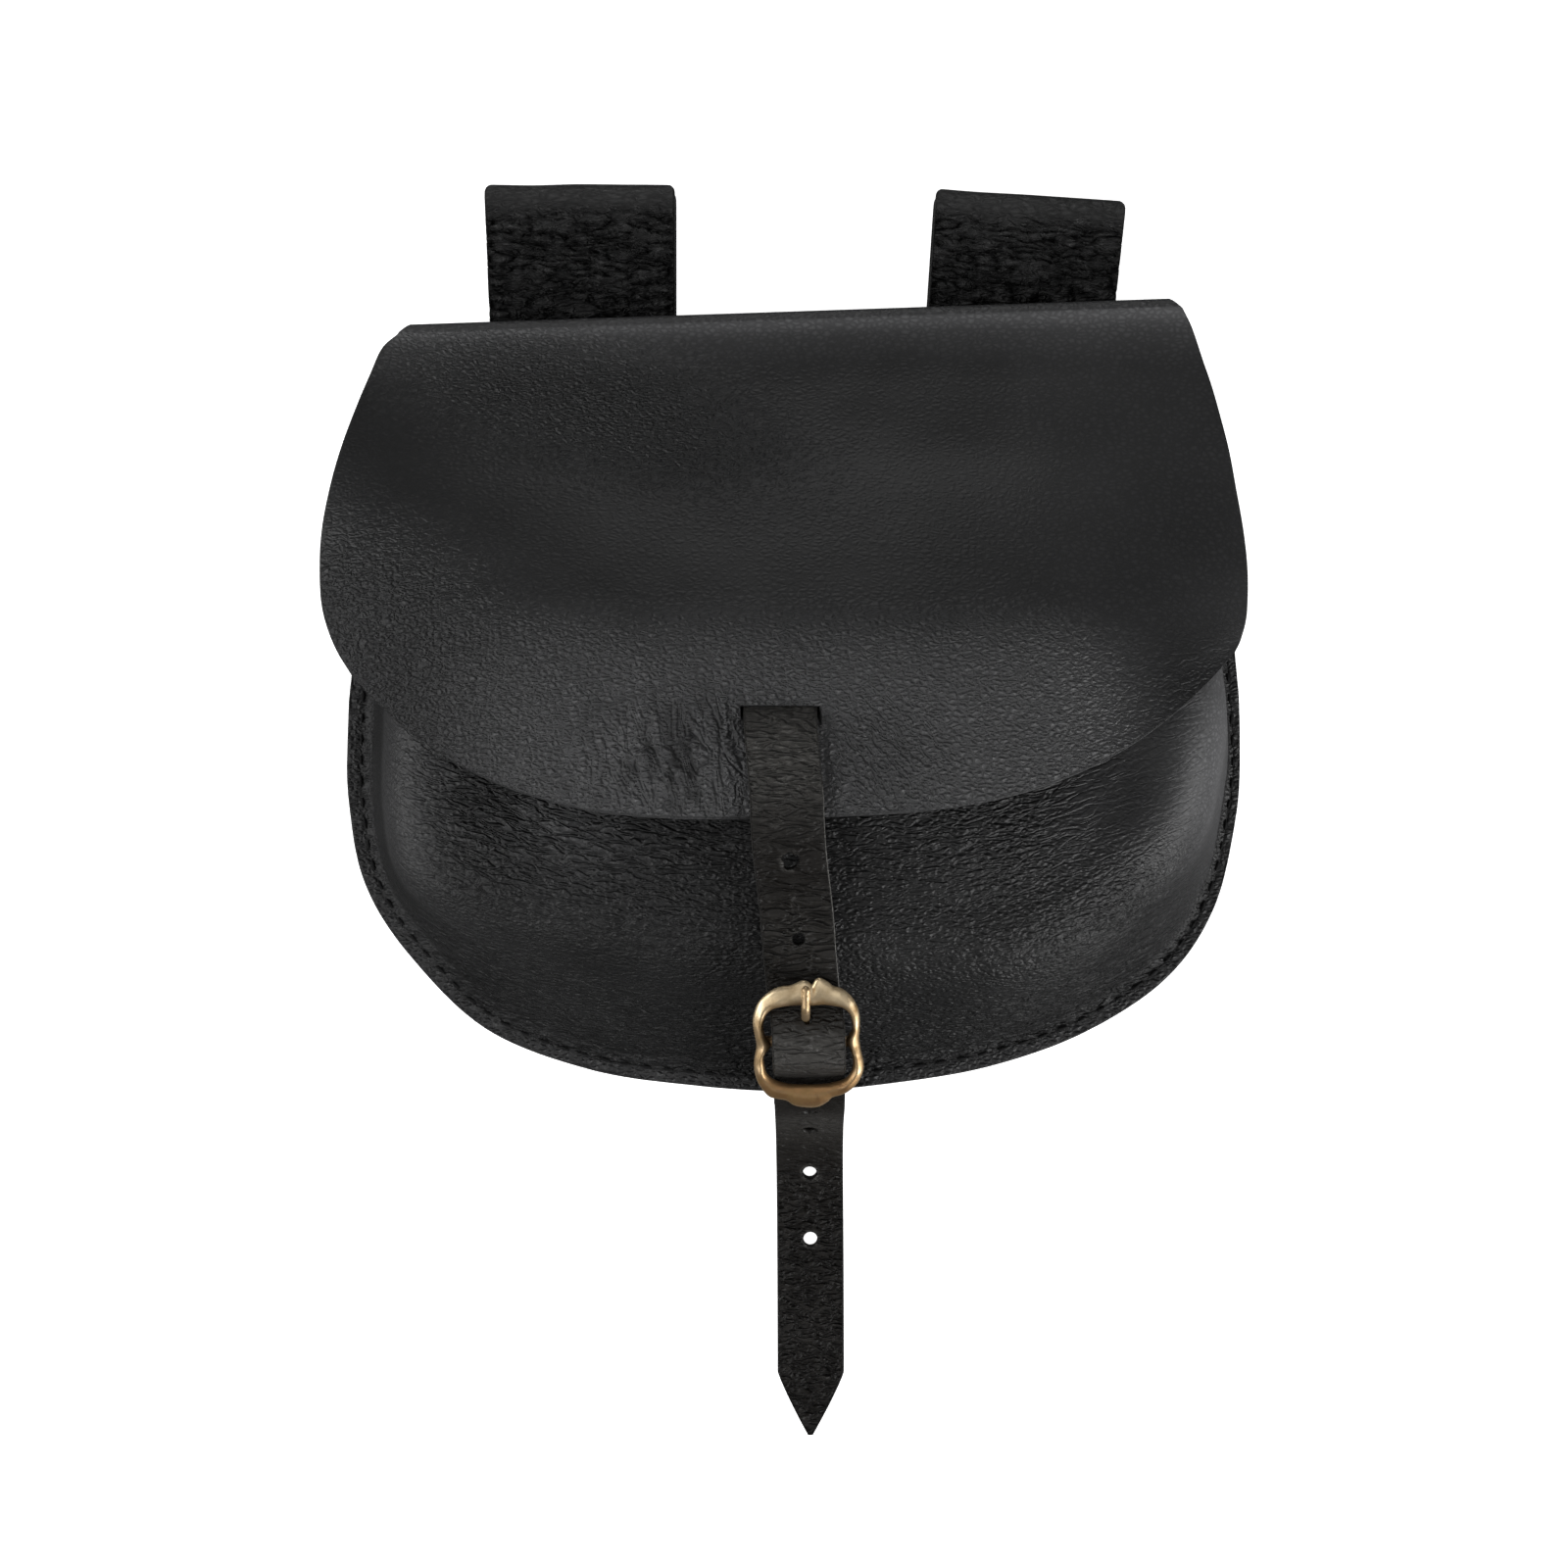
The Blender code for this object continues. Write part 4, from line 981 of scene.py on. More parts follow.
# The belt loops
loops = {
    "width": 43.6,
    "height": 9.5,
    "leather": 2.0,
    "sewnEnd": 57.0,
    "sewnTop": 66.0,
    "flatFrom": 78.0,
    "fineTo": 84.0,
    "bendTo": 80.0,
    "cornerRound": 2.2,
    "flare": 1.3,
    # the ripples' angle, spacing, length and depth, and the fine creases' angle, spacing and length
    "ripples": (0, 1.3, 4.6),
    "rippleDepth": 1.3,
    "creases": (0, 1.7, 4),
    # points along the rear, the bend, the front and its sewn end
    "steps": (40, 15, 110, 20),
    "across": 150,
    # the first row of points with ripples, and the rows over which they come in
    "ripplesFrom": (44, 6),
    # how far below the fold the ripples start, and over how far they deepen
    "ripplesBelow": (5, 5),
    # height, length and width of the soft dents, and the seeds of the ripples and the dents
    "dents": (0.2, 12, 8),
    "seeds": (51, 61),
    # painted highlight at the fold, how far below it and its reach, and painted highlight on the tops of the
    # ripples
    "foldHighlight": (0.35, 3, 4),
    "rippleTopHighlight": 0.24,
    # grain and depth of the fine creases at the fold, and what is added below it
    "grain": (0.25, 0.6),
    "creaseDepth": (0.1, 0.8),
    # how far below the fold the flare is half done, and its run
    "flareFall": (16, 32),
    # name, middle, top and how far it has slewed round
    "places": (("belt_loop_left_leather", "belt_loop_left", -49.4, 120.5, 0.0),
               ("belt_loop_right_leather", "belt_loop_right", 51.0, 118.3, -3.8)),
}


def loopSection(top):
    # y and z from the sewn end behind the belt, over the bend and down the front
    radius = loops["height"] / 2
    foldY = top - radius
    rearSteps, bendSteps, frontSteps, sewnSteps = loops["steps"]
    rear = [(y, 0.0) for y in np.linspace(loops["sewnEnd"], foldY, rearSteps)]
    turns = np.radians(np.linspace(-loops["bendTo"], loops["bendTo"], bendSteps))
    bend = [(foldY + radius * math.cos(turn), radius + radius * math.sin(turn)) for turn in turns]
    down = np.concatenate((np.linspace(foldY, loops["fineTo"], frontSteps)[:-1],
                           np.linspace(loops["fineTo"], loops["sewnEnd"], sewnSteps)))
    drop = loops["height"] - 2 * loops["leather"] - bag["gap"]
    sewn = ease((loops["flatFrom"] - down) / (loops["flatFrom"] - loops["sewnTop"]))
    return np.array(rear + bend + [(y, loops["height"] - drop * share) for y, share in zip(down, sewn)])


def loopSurface(x, y, top, shown, index):
    # relief, grain, painted highlights, creases and flow; only the front below the fold is rippled
    start, run = loops["ripplesBelow"]
    below = ease((top - start - y) / run)
    rippleSeed, dentSeed = loops["seeds"]
    ripple = wrinkles(x, y, *loops["ripples"], rippleSeed + index)
    dent, dentLength, dentWidth = loops["dents"]
    relief = dent * shown * cloud(x / dentLength, y / dentWidth, dentSeed + index)
    relief = relief - loops["rippleDepth"] * shown * below * ripple ** 3
    # painted highlights along the fold and on the tops of the ripples
    sheen, sheenBelow, sheenReach = loops["foldHighlight"]
    wearAndPaintedLight = sheen * bump(y - top + sheenBelow, sheenReach) + loops["rippleTopHighlight"] * shown * below * (1 - ripple) ** 3
    grain, crease = (first + added * below for first, added in (loops["grain"], loops["creaseDepth"]))
    return relief, grain, wearAndPaintedLight, shown * crease, turned(x + 60 * index, y, *loops["creases"])


def makeLoops(material):
    flareMiddle, flareRun = loops["flareFall"]
    firstRow, rowsOver = loops["ripplesFrom"]
    for index, (name, node, middleX, top, slew) in enumerate(loops["places"]):
        section = loopSection(top)
        half, side = loops["width"] / 2, np.sign(middleX)
        across = np.linspace(-half, half, loops["across"])
        grid = np.stack(np.broadcast_arrays(across[None, :], section[:, :1], section[:, 1:]), -1)
        # the folded end has rounded corners, and the edge away from the bag's middle flares towards it
        pastCorner = np.clip((grid[..., 1] - top) / loops["cornerRound"] + 1, 0, 1)
        grid[..., 0] *= 1 - (1 - np.sqrt(1 - pastCorner ** 2)) * loops["cornerRound"] / half
        flare = loops["flare"] * (grid[..., 1] - top + flareMiddle) / flareRun
        grid[..., 0] += side * flare * ease(side * grid[..., 0] / half)

        x, y = grid[..., 0], grid[..., 1]
        shown = ease((np.arange(len(section)) - firstRow) / rowsOver)[:, None] * np.ones_like(x)
        relief, *fields = loopSurface(x, y, top, shown, index)
        points, faces = sheetBody(grid, loops["leather"], gridNormals(grid), relief)
        turn = math.radians(slew)
        pivot = 0.5 * (loops["sewnEnd"] + loops["sewnTop"])
        px, py = points[:, 0].copy(), points[:, 1] - pivot
        points[:, 0] = middleX + px * math.cos(turn) - py * math.sin(turn)
        points[:, 1] = pivot + px * math.sin(turn) + py * math.cos(turn)
        piece = makeObject(name, points, faces, material, surfaceFields(points, *fields))
        finishPiece(piece, "strap_leather", node)


# The buckle
buckle = {
    "x": 2.9,
    "barRise": 28.0,
    "barLift": 2.9,
    "length": 25.4,
    "lean": math.radians(21.2),
    "width": 24.4,
    "thickness": 3.0,
    "middleBarRadius": 1.2,
    "middleBarDrop": 1.5,
    # clockwise from the pin's rest: outer and inner edge as shares of half the width and half the length
    "outline": (
        (0.0, 1.18, -0.02, 0.74), (0.06, 1.13, 0.07, 0.74), (0.12, 1.22, 0.16, 0.745),
        (0.2, 1.25, 0.27, 0.75), (0.33, 1.18, 0.39, 0.74), (0.43, 1.1, 0.49, 0.725),
        (0.58, 1.05, 0.59, 0.7), (0.74, 0.91, 0.685, 0.63), (0.85, 0.72, 0.74, 0.54),
        (0.895, 0.53, 0.76, 0.44), (0.9, 0.31, 0.76, 0.29), (0.89, 0.12, 0.67, 0.1),
        (0.92, -0.09, 0.72, -0.06), (0.97, -0.31, 0.78, -0.26), (0.97, -0.5, 0.77, -0.47),
        (0.88, -0.72, 0.69, -0.62), (0.74, -0.87, 0.59, -0.68), (0.6, -0.95, 0.475, -0.715),
        (0.44, -1.0, 0.38, -0.74), (0.34, -1.1, 0.28, -0.75), (0.18, -1.19, 0.155, -0.755),
        (-0.02, -1.205, -0.02, -0.76), (-0.24, -1.165, -0.2, -0.755), (-0.38, -1.07, -0.32, -0.75),
        (-0.52, -1.04, -0.43, -0.725), (-0.68, -1.0, -0.54, -0.69), (-0.8, -0.87, -0.64, -0.64),
        (-0.9, -0.69, -0.72, -0.56), (-0.95, -0.48, -0.76, -0.44), (-0.95, -0.26, -0.77, -0.22),
        (-0.91, -0.02, -0.665, -0.02), (-0.94, 0.17, -0.74, 0.14), (-0.975, 0.42, -0.785, 0.34),
        (-0.94, 0.63, -0.755, 0.52), (-0.87, 0.8, -0.7, 0.61), (-0.74, 0.945, -0.6, 0.685),
        (-0.59, 1.05, -0.475, 0.715), (-0.46, 1.095, -0.36, 0.73), (-0.32, 1.11, -0.25, 0.74),
        (-0.11, 1.2, -0.09, 0.74),
    ),
    # the bar's section from its inner to its outer edge: share across, and share of half the thickness
    "section": (
        (0.0, 0.0), (0.04, 0.42), (0.12, 0.7), (0.24, 0.9), (0.38, 1.0), (0.5, 0.95), (0.66, 0.82),
        (0.82, 0.62), (0.94, 0.36), (1.0, 0.0), (0.93, -0.5), (0.76, -0.86), (0.5, -1.0), (0.24, -0.86),
        (0.07, -0.5),
    ),
    "rings": 320,
    "edgeTuck": 0.1,
    # height, size and seed of the casting's lumps
    "lumps": (0.13, 2.1, 91),
    "barReach": 0.8,
    # points along the middle bar and round it, and round the pin's bend, along it and round it
    "barSteps": (12, 16),
    "pinSteps": (24, 150, 18),
    # the pin's bend round the middle bar in degrees
    "pinBend": (-215, 72),
    "pinRadius": 0.95,
    "pinAside": -0.6,
    "pinKnee": (5.2, -0.25),
    "pinOverBar": (9.7, 12.4, 15.1),
    "pinEndRound": 0.9,
    "pinMarks": (11.2, 12.0, 13.6),
    "pinMarkDepth": 0.14,
    "pinMarkWidth": 0.22,
}


def upperBar():
    return buckle["barRise"] - bag["drop"], bag["depth"] + buckle["barLift"]


def onBuckle(along, out):
    # y and z of a place on the buckle, from how far above its middle bar and out of its plane it is
    y, z = upperBar()
    along = along - buckle["length"] / 2
    cosine, sine = math.cos(buckle["lean"]), math.sin(buckle["lean"])
    return y + along * cosine - out * sine, z + along * sine + out * cosine


def tube(line, radii, sides, across=(1.0, 0.0, 0.0)):
    # points and faces of a closed round bar along a line
    along = unit(np.gradient(line, axis=0))
    side = unit(np.cross(np.cross(along, across), along))
    up = np.cross(along, side)
    turn = np.linspace(0, 2 * math.pi, sides, endpoint=False)
    rings = [line + (side * math.cos(t) + up * math.sin(t)) * radii[:, None] for t in turn]
    points = np.array(rings).transpose(1, 0, 2).reshape(-1, 3)
    faces = [tuple(range(sides - 1, -1, -1)), tuple(range(len(points) - sides, len(points)))]
    for ring in range(len(line) - 1):
        for k in range(sides):
            here, beside = ring * sides + k, ring * sides + (k + 1) % sides
            faces.append((here, beside, beside + sides, here + sides))
    return points, faces


def makeFrame(material):
    rows = buckle["outline"] + buckle["outline"][:1]
    place = np.linspace(0, len(rows) - 1, buckle["rings"], endpoint=False)
    half = (buckle["width"] / 2, buckle["length"] / 2)
    outerX, outerY, innerX, innerY = columnsThrough(rows, place)
    inner, outer = np.stack((innerX, innerY), -1) * half, np.stack((outerX, outerY), -1) * half
    share, rise = np.array(buckle["section"]).T[:, None]
    flat = inner[:, None] + (outer - inner)[:, None] * share[..., None]
    height, size, seed = buckle["lumps"]
    lumps = height * cloud(flat[..., 0] / size + 40, flat[..., 1] / size + 40, seed)
    out = rise * (buckle["thickness"] / 2 - buckle["edgeTuck"]) + lumps * np.clip(rise, 0, 1)
    y, z = onBuckle(flat[..., 1], out)
    points = np.stack((buckle["x"] + flat[..., 0], y, z), -1)
    rings, sides = points.shape[:2]
    faces = []
    for ring in range(rings):
        start, following = ring * sides, (ring + 1) % rings * sides
        for k in range(sides):
            faces.append((start + k, start + (k + 1) % sides, following + (k + 1) % sides, following + k))

    # the upper bar is rubbed pale towards its outer edge and painted paler still where light falls on it; the
    # lower one is browner, with a painted highlight along its crest and a pale rim, rubbed and painted as a
    # highlight
    lower, upper = ease(-flat[..., 1] / 5 - 1), ease(flat[..., 1] / 4 - 1)
    upperRubAndLight = 0.2 + 0.8 * ease(share / 0.45)
    lowerRubAndHighlight = 0.15 + 0.85 * bump(share - 1.0, 0.22) + 0.5 * bump(share - 0.36, 0.1)
    paled = np.clip(upperRubAndLight * (0.5 + 0.5 * upper) + (lowerRubAndHighlight - upperRubAndLight) * lower, 0, 1)
    paled = np.where(rise < 0, 0.2, paled).ravel()
    piece = makeObject("cast_buckle_frame", points.reshape(-1, 3), faces, material, {"paled": paled})

    y, z = onBuckle(0, -buckle["middleBarDrop"])
    reach = buckle["barReach"] * half[0]
    steps, sides = buckle["barSteps"]
    line = np.array([(buckle["x"] + x, y, z) for x in np.linspace(-reach, reach, steps)])
    points, faces = tube(line, np.full(steps, buckle["middleBarRadius"]), sides, (0, 0, 1.0))
    bar = makeObject("middle_bar", points, faces, material, {"paled": np.full(len(points), 0.2)})
    finishPiece(combined(piece, [bar], "UNION"), "buckle_brass", "buckle_frame")


def makePin(material):
    # it is bent round the middle bar, and rests on the upper one
    ring = buckle["middleBarRadius"] + bag["gap"] + buckle["pinRadius"]
    bendSteps, steps, sides = buckle["pinSteps"]
    bend = [(ring * math.cos(turn), ring * math.sin(turn) - buckle["middleBarDrop"])
            for turn in np.radians(np.linspace(*buckle["pinBend"], bendSteps))]
    over = buckle["thickness"] / 2 + bag["gap"] + buckle["pinRadius"]
    nearBar, onBar, pastBar = buckle["pinOverBar"]
    turns = bend + [buckle["pinKnee"], (nearBar, over), (onBar, over), (pastBar, over - bag["gap"])]
    place = np.linspace(0, len(turns) - 1, steps)
    along, out = columnsThrough(turns, place)
    y, z = onBuckle(along, out)
    line = np.stack((np.full_like(y, buckle["x"] + buckle["pinAside"]), y, z), -1)
    gone = travelled(line)
    fromEnd = np.clip(np.minimum(gone, gone[-1] - gone) / buckle["pinEndRound"], 0, 1)
    radii = buckle["pinRadius"] * np.sqrt(np.clip(1 - (1 - fromEnd) ** 2, 0.04, 1))
    for mark in buckle["pinMarks"]:
        radii = radii - buckle["pinMarkDepth"] * bump(along - mark, buckle["pinMarkWidth"]) * (out > 0.5)
    points, faces = tube(line, radii, sides)
    piece = makeObject("cast_buckle_pin", points, faces, material, {"paled": np.full(len(points), 0.5)})
    finishPiece(piece, "buckle_brass", "buckle_pin")


# The strap on the flap
strap = {
    "leather": 1.8,
    "width": 15.6,
    "tabWidth": 30.0,
    "tabLength": 27.6,
    "tabNeck": 8.5,
    "slitX": -3.1,
    "slitY": -3.6,
    "tailReach": 81.1,
    "pointLength": 15.0,
    "pointNarrowing": 0.93,
    "lie": 0.1,
    "step": 0.55,
    "across": 33,
    "edgeRound": 0.35,
    "holeRadius": 1.65,
    "holeSpacing": 16.1,
    "holes": (2.87, 3.87, 4.87, 5.87, 9.3, 10.37),
    "punchReach": 2.4,
    # the slot for the pin: its start and end as shares of the buckle's length, and its width
    "pinHole": (0.2, 0.34, 2.5),
    # how many holes from the tip are still open, and how far the others have closed up
    "openHoles": 4,
    "closedUp": 0.82,
    # how much wider the last hole has torn, and how ragged it is
    "torn": 0.22,
    "ragged": (0.5, 0.3),
    # y from the slit's middle: the tab's points end, the crossing's start and end, and the outer ones start
    "crossing": (6.6, 5.1, -4.9, -8.4),
    # the climb through the slit: where it starts, and its run
    "climb": (4.2, 7.8),
    # how far before the flap's front edge the outer part ends
    "beforeEdge": 3.5,
    # grain, creases and wear of the plain strap, and what its tip adds
    "plain": (0.45, 0.3, 0.0),
    "tip": (0.6, 3.2, 0.0),
    # bends and places with a painted highlight: millimetres from the tip, reach, and what they add in grain,
    # creases and painted highlight
    "marks": (
        (188, 11, 1.6, 1.7, 0.5),
        (125, 8, 0.0, 0.4, 0.3),
        (150, 9, 0.0, 1.2, 0.0),
        (150, 10, 0.0, 0.0, 0.1),
        (84, 10, 0.0, 0.0, 0.16),
    ),
    "tipFrom": (66.0, 24),
    "tipRub": 0.06,
    # the rubbed creases of the tip: angle, spacing, length and seed
    "tipCreases": (0, 1.3, 3.0, 92),
    # height, width, length and seed of the soft dents
    "dents": (0.12, 6, 9, 71),
    "tailCreasesTo": 62.0,
    "tailCreases": (0, 1.8, 3.6),
    "creases": (0, 2.3, 7),
    # the right cut edge, which takes a painted highlight, from y to y
    "sheenEdge": (-66.0, -20.0),
    # sway, then lengthways and upwards shares: over the bag, in the buckle, falling to the table, lying on it
    "overBag": ((-0.75, 0.005, 1.03), (-0.667, 0.209, 0.971), (-0.433, 0.534, 0.565), (-0.3, 0.805, 0.217)),
    "inBuckle": (
        (-0.167, 0.076, -1.03), (-0.1, 0.16, -0.95), (-0.05, 0.25, -0.15), (0.0, 0.35, 0.9),
        (0.017, 0.463, 1.17), (0.033, 0.6, 1.0), (0.04, 0.73, 0.1), (0.05, 0.83, -0.85), (0.05, 0.938, -1.26),
    ),
    "falling": (
        (0.083, -0.02, 0.594), (0.1, 0.075, 0.352), (0.117, 0.174, 0.17), (0.133, 0.313, 0.051),
        (0.15, 0.491, 0.006),
    ),
    "lying": ((0.167, 0.478), (0.183, 0.815), (0.167, 1.0)),
}
tornHole = len(strap["holes"]) - 1


def strapRoute():
    half = strap["leather"] / 2
    frontY = flapPoints(np.array([float(lastSection)]), np.zeros(1))[0, 1]
    barY = upperBar()[0]
    underBar = buckle["thickness"] / 2 + bag["gap"] + half
    points = []
    for sway, down, up in strap["overBag"]:
        z = bag["depth"] + (flap["top"] + bag["gap"] + half - bag["depth"]) * up
        points.append((sway, frontY + (barY - frontY) * down, z))
    for sway, down, out in strap["inBuckle"]:
        points.append((sway, *onBuckle(buckle["length"] * (0.5 - down), out * underBar)))
    for sway, down, up in strap["falling"]:
        points.append((sway, -bag["drop"] - down * bag["depth"], strap["lie"] + half + up * bag["depth"]))
    for sway, reach in strap["lying"]:
        points.append((sway, -bag["drop"] - reach * strap["tailReach"], strap["lie"] + half))
    return np.array([(buckle["x"] + sway * (buckle["x"] - strap["slitX"]), y, z) for sway, y, z in points])


def strapMiddleLine(step):
    # from the tab under the flap out through the slit, through the buckle and down to the tip, at even steps
    route = strapRoute()
    tabEnd, crossStart, crossEnd, outerStart = (strap["slitY"] + past for past in strap["crossing"])
    y = np.concatenate((
        np.linspace(strap["slitY"] + strap["tabLength"], tabEnd, 20),
        np.linspace(crossStart, crossEnd, 30),
        np.linspace(outerStart, route[0, 1] + strap["beforeEdge"], 12),
    ))
    under = -bag["leather"] - 2 * bag["gap"] - strap["leather"] / 2
    over = bag["gap"] + strap["leather"] / 2
    climbStart, climbRun = strap["climb"]
    z = flapHeight(y) + under + (over - under) * ease((strap["slitY"] + climbStart - y) / climbRun)
    drift = ease((strap["slitY"] - y) / (strap["slitY"] - route[0, 1]))
    x = strap["slitX"] + (route[0, 0] - strap["slitX"]) * drift
    places = np.linspace(0, len(route) - 1, 300)
    rest = columnsThrough(route, places).T
    line = np.concatenate((np.stack((x, y, z), -1), rest))
    gone = travelled(line)
    even = np.linspace(0, gone[-1], int(gone[-1] / step))
    return np.stack([np.interp(even, gone, values) for values in line.T], -1), gone[-1] - even


def strapHalfWidth(y):
    # wide over the tab, and drawn in to the point
    onTab = ease((y - strap["slitY"] - strap["tabNeck"]) / 2.5)
    half = 0.5 * (strap["width"] + (strap["tabWidth"] - strap["width"]) * onTab)
    tip = -bag["drop"] - strap["tailReach"]
    towardsTip = np.clip((strap["pointLength"] + tip - y) / strap["pointLength"], 0, 1)
    return half * (1 - strap["pointNarrowing"] * towardsTip ** 1.15)


def strapSurface(x, s, fromMiddle):
    # relief, grain, wear and painted light, creases and flow over the strap; s is how far from the tip a
    # point is
    dent, dentWidth, dentLength, seed = strap["dents"]
    relief = dent * cloud(x / dentWidth, s / dentLength, seed)
    fields = [np.full_like(x, share) for share in strap["plain"]]
    # the marks paint highlights where the strap comes out of the slit, over the front, inside the buckle and
    # on the tail
    for place, reach, *shares in strap["marks"]:
        mark = bump(s - place, reach)
        fields = [field + share * mark for field, share in zip(fields, shares)]
    tipStart, tipRun = strap["tipFrom"]
    nearTip = ease((tipStart - s) / tipRun)
    grain, crease, wearAndPaintedLight = (field + share * nearTip for field, share in zip(fields, strap["tip"]))
    wearAndPaintedLight = wearAndPaintedLight + strap["tipRub"] * nearTip * wrinkles(x, s, *strap["tipCreases"])
    # the leather swells round the punched holes, whose edges are pale
    for index, hole in enumerate(strap["holes"]):
        fromRim = np.hypot(fromMiddle, s - hole * strap["holeSpacing"]) - strap["holeRadius"]
        if index == tornHole:
            frayed = 0.15 + 0.4 * cloud(x / 1.1, s / 1.1, 81)
            wearAndPaintedLight = np.maximum(wearAndPaintedLight, frayed * bump(fromRim - 0.2, 0.7))
            relief = relief + 0.35 * bump(fromRim - 1, 0.8)
        else:
            wearAndPaintedLight = np.maximum(wearAndPaintedLight, (0.5 if index < 2 else 0.2) * bump(fromRim, 0.5))
            relief = relief + 0.18 * bump(fromRim - 1, 0.8)
    flows = zip(turned(x, s, *strap["tailCreases"]), turned(x, s, *strap["creases"]))
    return relief, grain, wearAndPaintedLight, crease, [np.where(s < strap["tailCreasesTo"], *pair) for pair in flows]


def punchKnives(line, fromTip, up, material):
    # a knife for each hole of the strap, and one for the slot that the pin comes through
    reach = buckle["length"] * math.cos(buckle["lean"])
    start, end = (upperBar()[0] - reach * share for share in strap["pinHole"][:2])
    punches = []
    for hole in strap["holes"]:
        y = np.interp(hole * strap["holeSpacing"], fromTip[::-1], line[::-1, 1])
        punches.append((y, strap["holeRadius"], strap["holeRadius"]))
    punches.append((0.5 * (start + end), strap["pinHole"][2] / 2, 0.5 * (start - end)))
    turn = np.linspace(0, 2 * math.pi, 24, endpoint=False)[:, None]
    ragged = 1 + strap["ragged"][0] * np.sin(3 * turn + 1) + strap["ragged"][1] * np.sin(5 * turn)
    order = np.argsort(line[:, 1])
    knives = []
    for index, (y, wide, long) in enumerate(punches):
        centre = np.array([np.interp(y, line[order, 1], line[order, k]) for k in range(3)])
        axis = unit(np.array([np.interp(y, line[order, 1], up[order, k]) for k in range(3)]))
        side = np.array((1.0, 0, 0))
        # the holes above the buckle and the slot have closed up a little
        size = 1.0 if index < strap["openHoles"] else strap["closedUp"]
        if index == tornHole:
            size = size + strap["torn"] * ragged
        ring = centre + (side * wide * np.cos(turn) + np.cross(axis, side) * long * np.sin(turn)) * size
        knives.append(prism(f"punch_{index}", ring, axis * strap["punchReach"], material))
    return knives


def makeStrap(material):
    line, fromTip = strapMiddleLine(strap["step"])
    across = np.linspace(-1, 1, strap["across"])
    middle = np.repeat(line[:, None], len(across), axis=1)
    middle[:, :, 0] += strapHalfWidth(line[:, 1])[:, None] * across[None]
    up = unit(np.cross(np.array((1.0, 0, 0)), -unit(np.gradient(line, axis=0))))
    normals = np.repeat(up[:, None], len(across), axis=1)
    x, s = middle[..., 0], np.broadcast_to(fromTip[:, None], middle.shape[:2])
    relief, grain, wearAndPaintedLight, crease, flow = strapSurface(x, s, x - line[:, None, 0])
    outer = middle + normals * strap["leather"] / 2
    points, faces = sheetBody(outer, strap["leather"], normals, relief, strap["edgeRound"])
    attributes = surfaceFields(points, grain, wearAndPaintedLight, crease, flow)
    # the right cut edge between those heights takes a painted highlight; the other cut edges are only a
    # little paler
    rim = points[2 * x.size:]
    low, high = strap["sheenEdge"]
    paled = (rim[:, 0] > 0) & (rim[:, 1] > low) & (rim[:, 1] < high)
    attributes["wearAndPaintedLight"][2 * x.size:] = np.where(paled, 0.9, 0.15)
    piece = makeObject("flap_strap_leather", points, faces, material, attributes)
    piece = combined(piece, punchKnives(line, fromTip, up, material), "DIFFERENCE")
    finishPiece(piece, "strap_leather", "flap_strap")


# The buckle's own strap
anchor = {
    "leather": 1.6,
    "width": 15.4,
    "past": 2.2,
    "seat": 0.55,
    "slotSpare": 2.4,
    "edgeRound": 0.35,
    "creases": (0, 2.3, 6),
    # points along each ply, round the bend and across
    "steps": (50, 30, 22),
    # the bend's start and end in degrees, back from the ply
    "bend": (4, 206),
    # grain, creases and wear, the same all over
    "finish": (0.45, 0.15, 0.0),
    # sway, and the ways down and low from the middle bar to the strap's end on the flange
    "route": ((0.0, 0.185, 0.177), (0.0, 0.279, 0.399), (0.0, 0.394, 0.645), (0.01, 0.551, 0.867),
              (0.02, 0.749, 0.98), (0.03, 1.0, 1.0)),
}


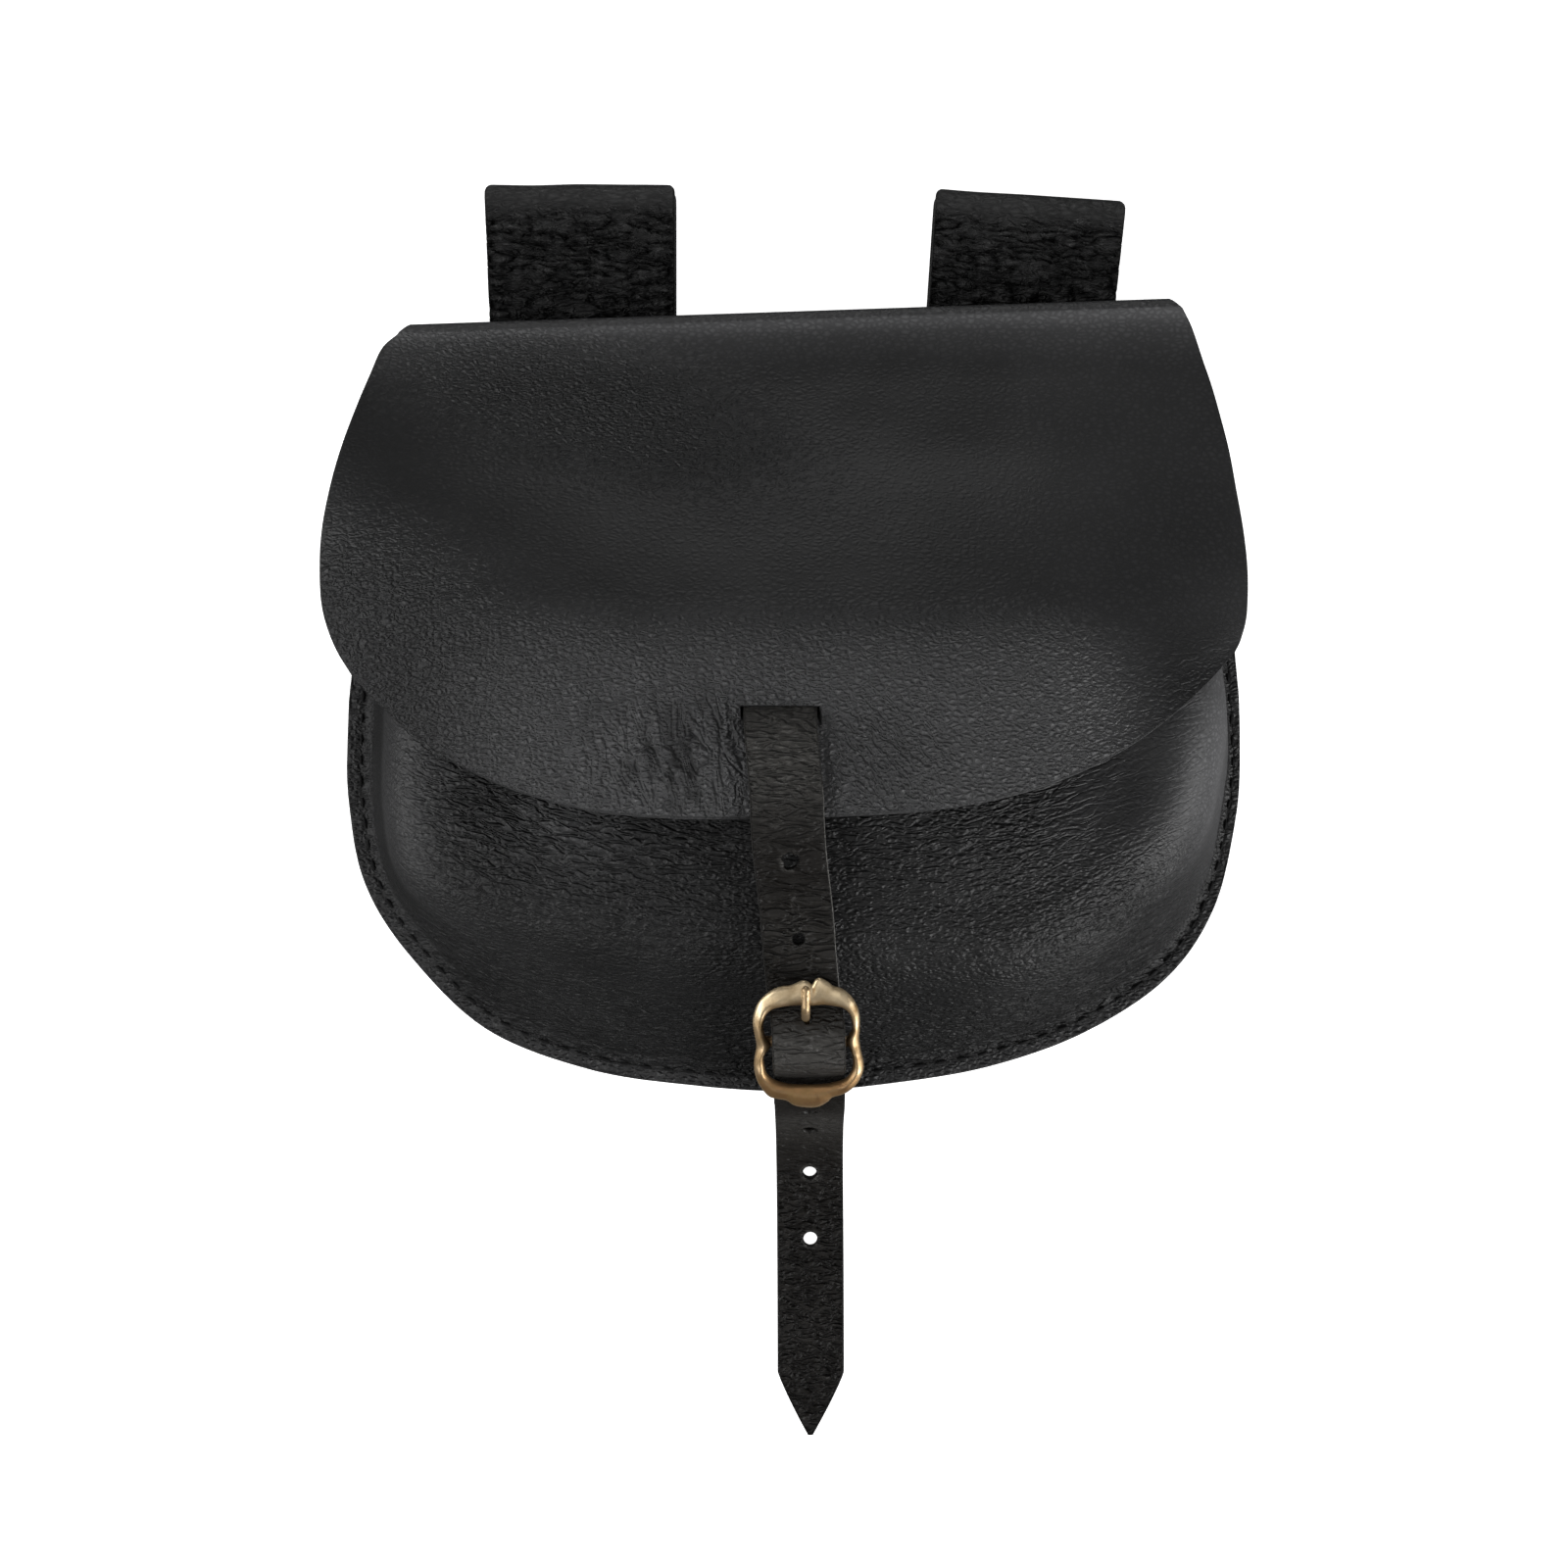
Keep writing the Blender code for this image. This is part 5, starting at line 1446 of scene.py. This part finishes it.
def makeAnchor(material):
    barY, barZ = onBuckle(0, -buckle["middleBarDrop"])
    radius = buckle["middleBarRadius"] + bag["gap"] + anchor["leather"]
    plyStep = anchor["leather"] + bag["gap"] / 2
    endY, endZ = -bag["drop"] - anchor["past"], front["flangeTop"] + anchor["seat"] + plyStep
    plySteps, bendSteps, acrossSteps = anchor["steps"]
    places = np.linspace(0, len(anchor["route"]) - 1, plySteps)
    sway, down, low = columnsThrough(anchor["route"], places)
    x = buckle["x"] + sway * (buckle["x"] - strap["slitX"])
    middle = np.stack((barY + (endY - barY) * down, barZ + (endZ - barZ) * low), -1)
    along = unit(np.gradient(middle, axis=0))
    outward = np.stack((along[:, 1], -along[:, 0]), -1)
    start = math.degrees(math.atan2(outward[0, 1], outward[0, 0]))
    turn = np.radians(np.linspace(*(start - back for back in anchor["bend"]), bendSteps))
    bend = np.stack((barY + radius * np.cos(turn), barZ + radius * np.sin(turn)), -1)
    section = np.concatenate(((middle + outward * plyStep)[::-1], bend, middle - outward * plyStep))
    centreX = np.concatenate((x[::-1], np.full(len(bend), x[0]), x))
    offsets = anchor["width"] * np.linspace(-0.5, 0.5, acrossSteps)
    grid = np.array([[(here + offset, y, z) for offset in offsets] for here, (y, z) in zip(centreX, section)])
    x, y = grid[..., 0], grid[..., 1] + grid[..., 2]
    points, faces = sheetBody(grid, anchor["leather"], -gridNormals(grid), None, anchor["edgeRound"])
    grain, crease, wearAndPaintedLight = (np.full_like(x, share) for share in anchor["finish"])
    attributes = surfaceFields(points, grain, wearAndPaintedLight, crease, turned(x, y, *anchor["creases"]))
    piece = makeObject("buckle_strap_leather", points, faces, material, attributes)
    pinX, room = buckle["x"] + buckle["pinAside"], buckle["pinRadius"] + 2 * bag["gap"]
    reach = radius + anchor["slotSpare"]
    corners = ((-1, -1), (1, -1), (1, 1), (-1, 1))
    ring = np.array([(pinX, barY + back * reach, barZ + up * reach) for back, up in corners])
    knife = prism("pin_slot_knife", ring, np.array((room, 0, 0)), material)
    finishPiece(combined(piece, [knife], "DIFFERENCE"), "strap_leather", "buckle_strap")


placeCamera()
placeTable()
placeLights()
bagLeather = leatherMaterial("pebbled_black_leather", bagLeatherLook)
strapLeather = leatherMaterial("smooth_black_leather", strapLeatherLook)
loopLeather = leatherMaterial("creased_black_leather", loopLeatherLook)
brass = brassMaterial("aged_brass", brassLook)
thread = threadMaterial("waxed_black_thread", threadLook)
print("materials ready")
makeFlapAndBack(bagLeather)
print("flap and back made")
makeFront(leatherMaterial("moulded_black_leather", frontLeatherLook))
print("front made")
makeStitching(thread)
print("stitching made")
makeLoops(loopLeather)
makeStrap(strapLeather)
makeAnchor(strapLeather)
print("loops and straps made")
makeFrame(brass)
makePin(brass)
print("buckle made")
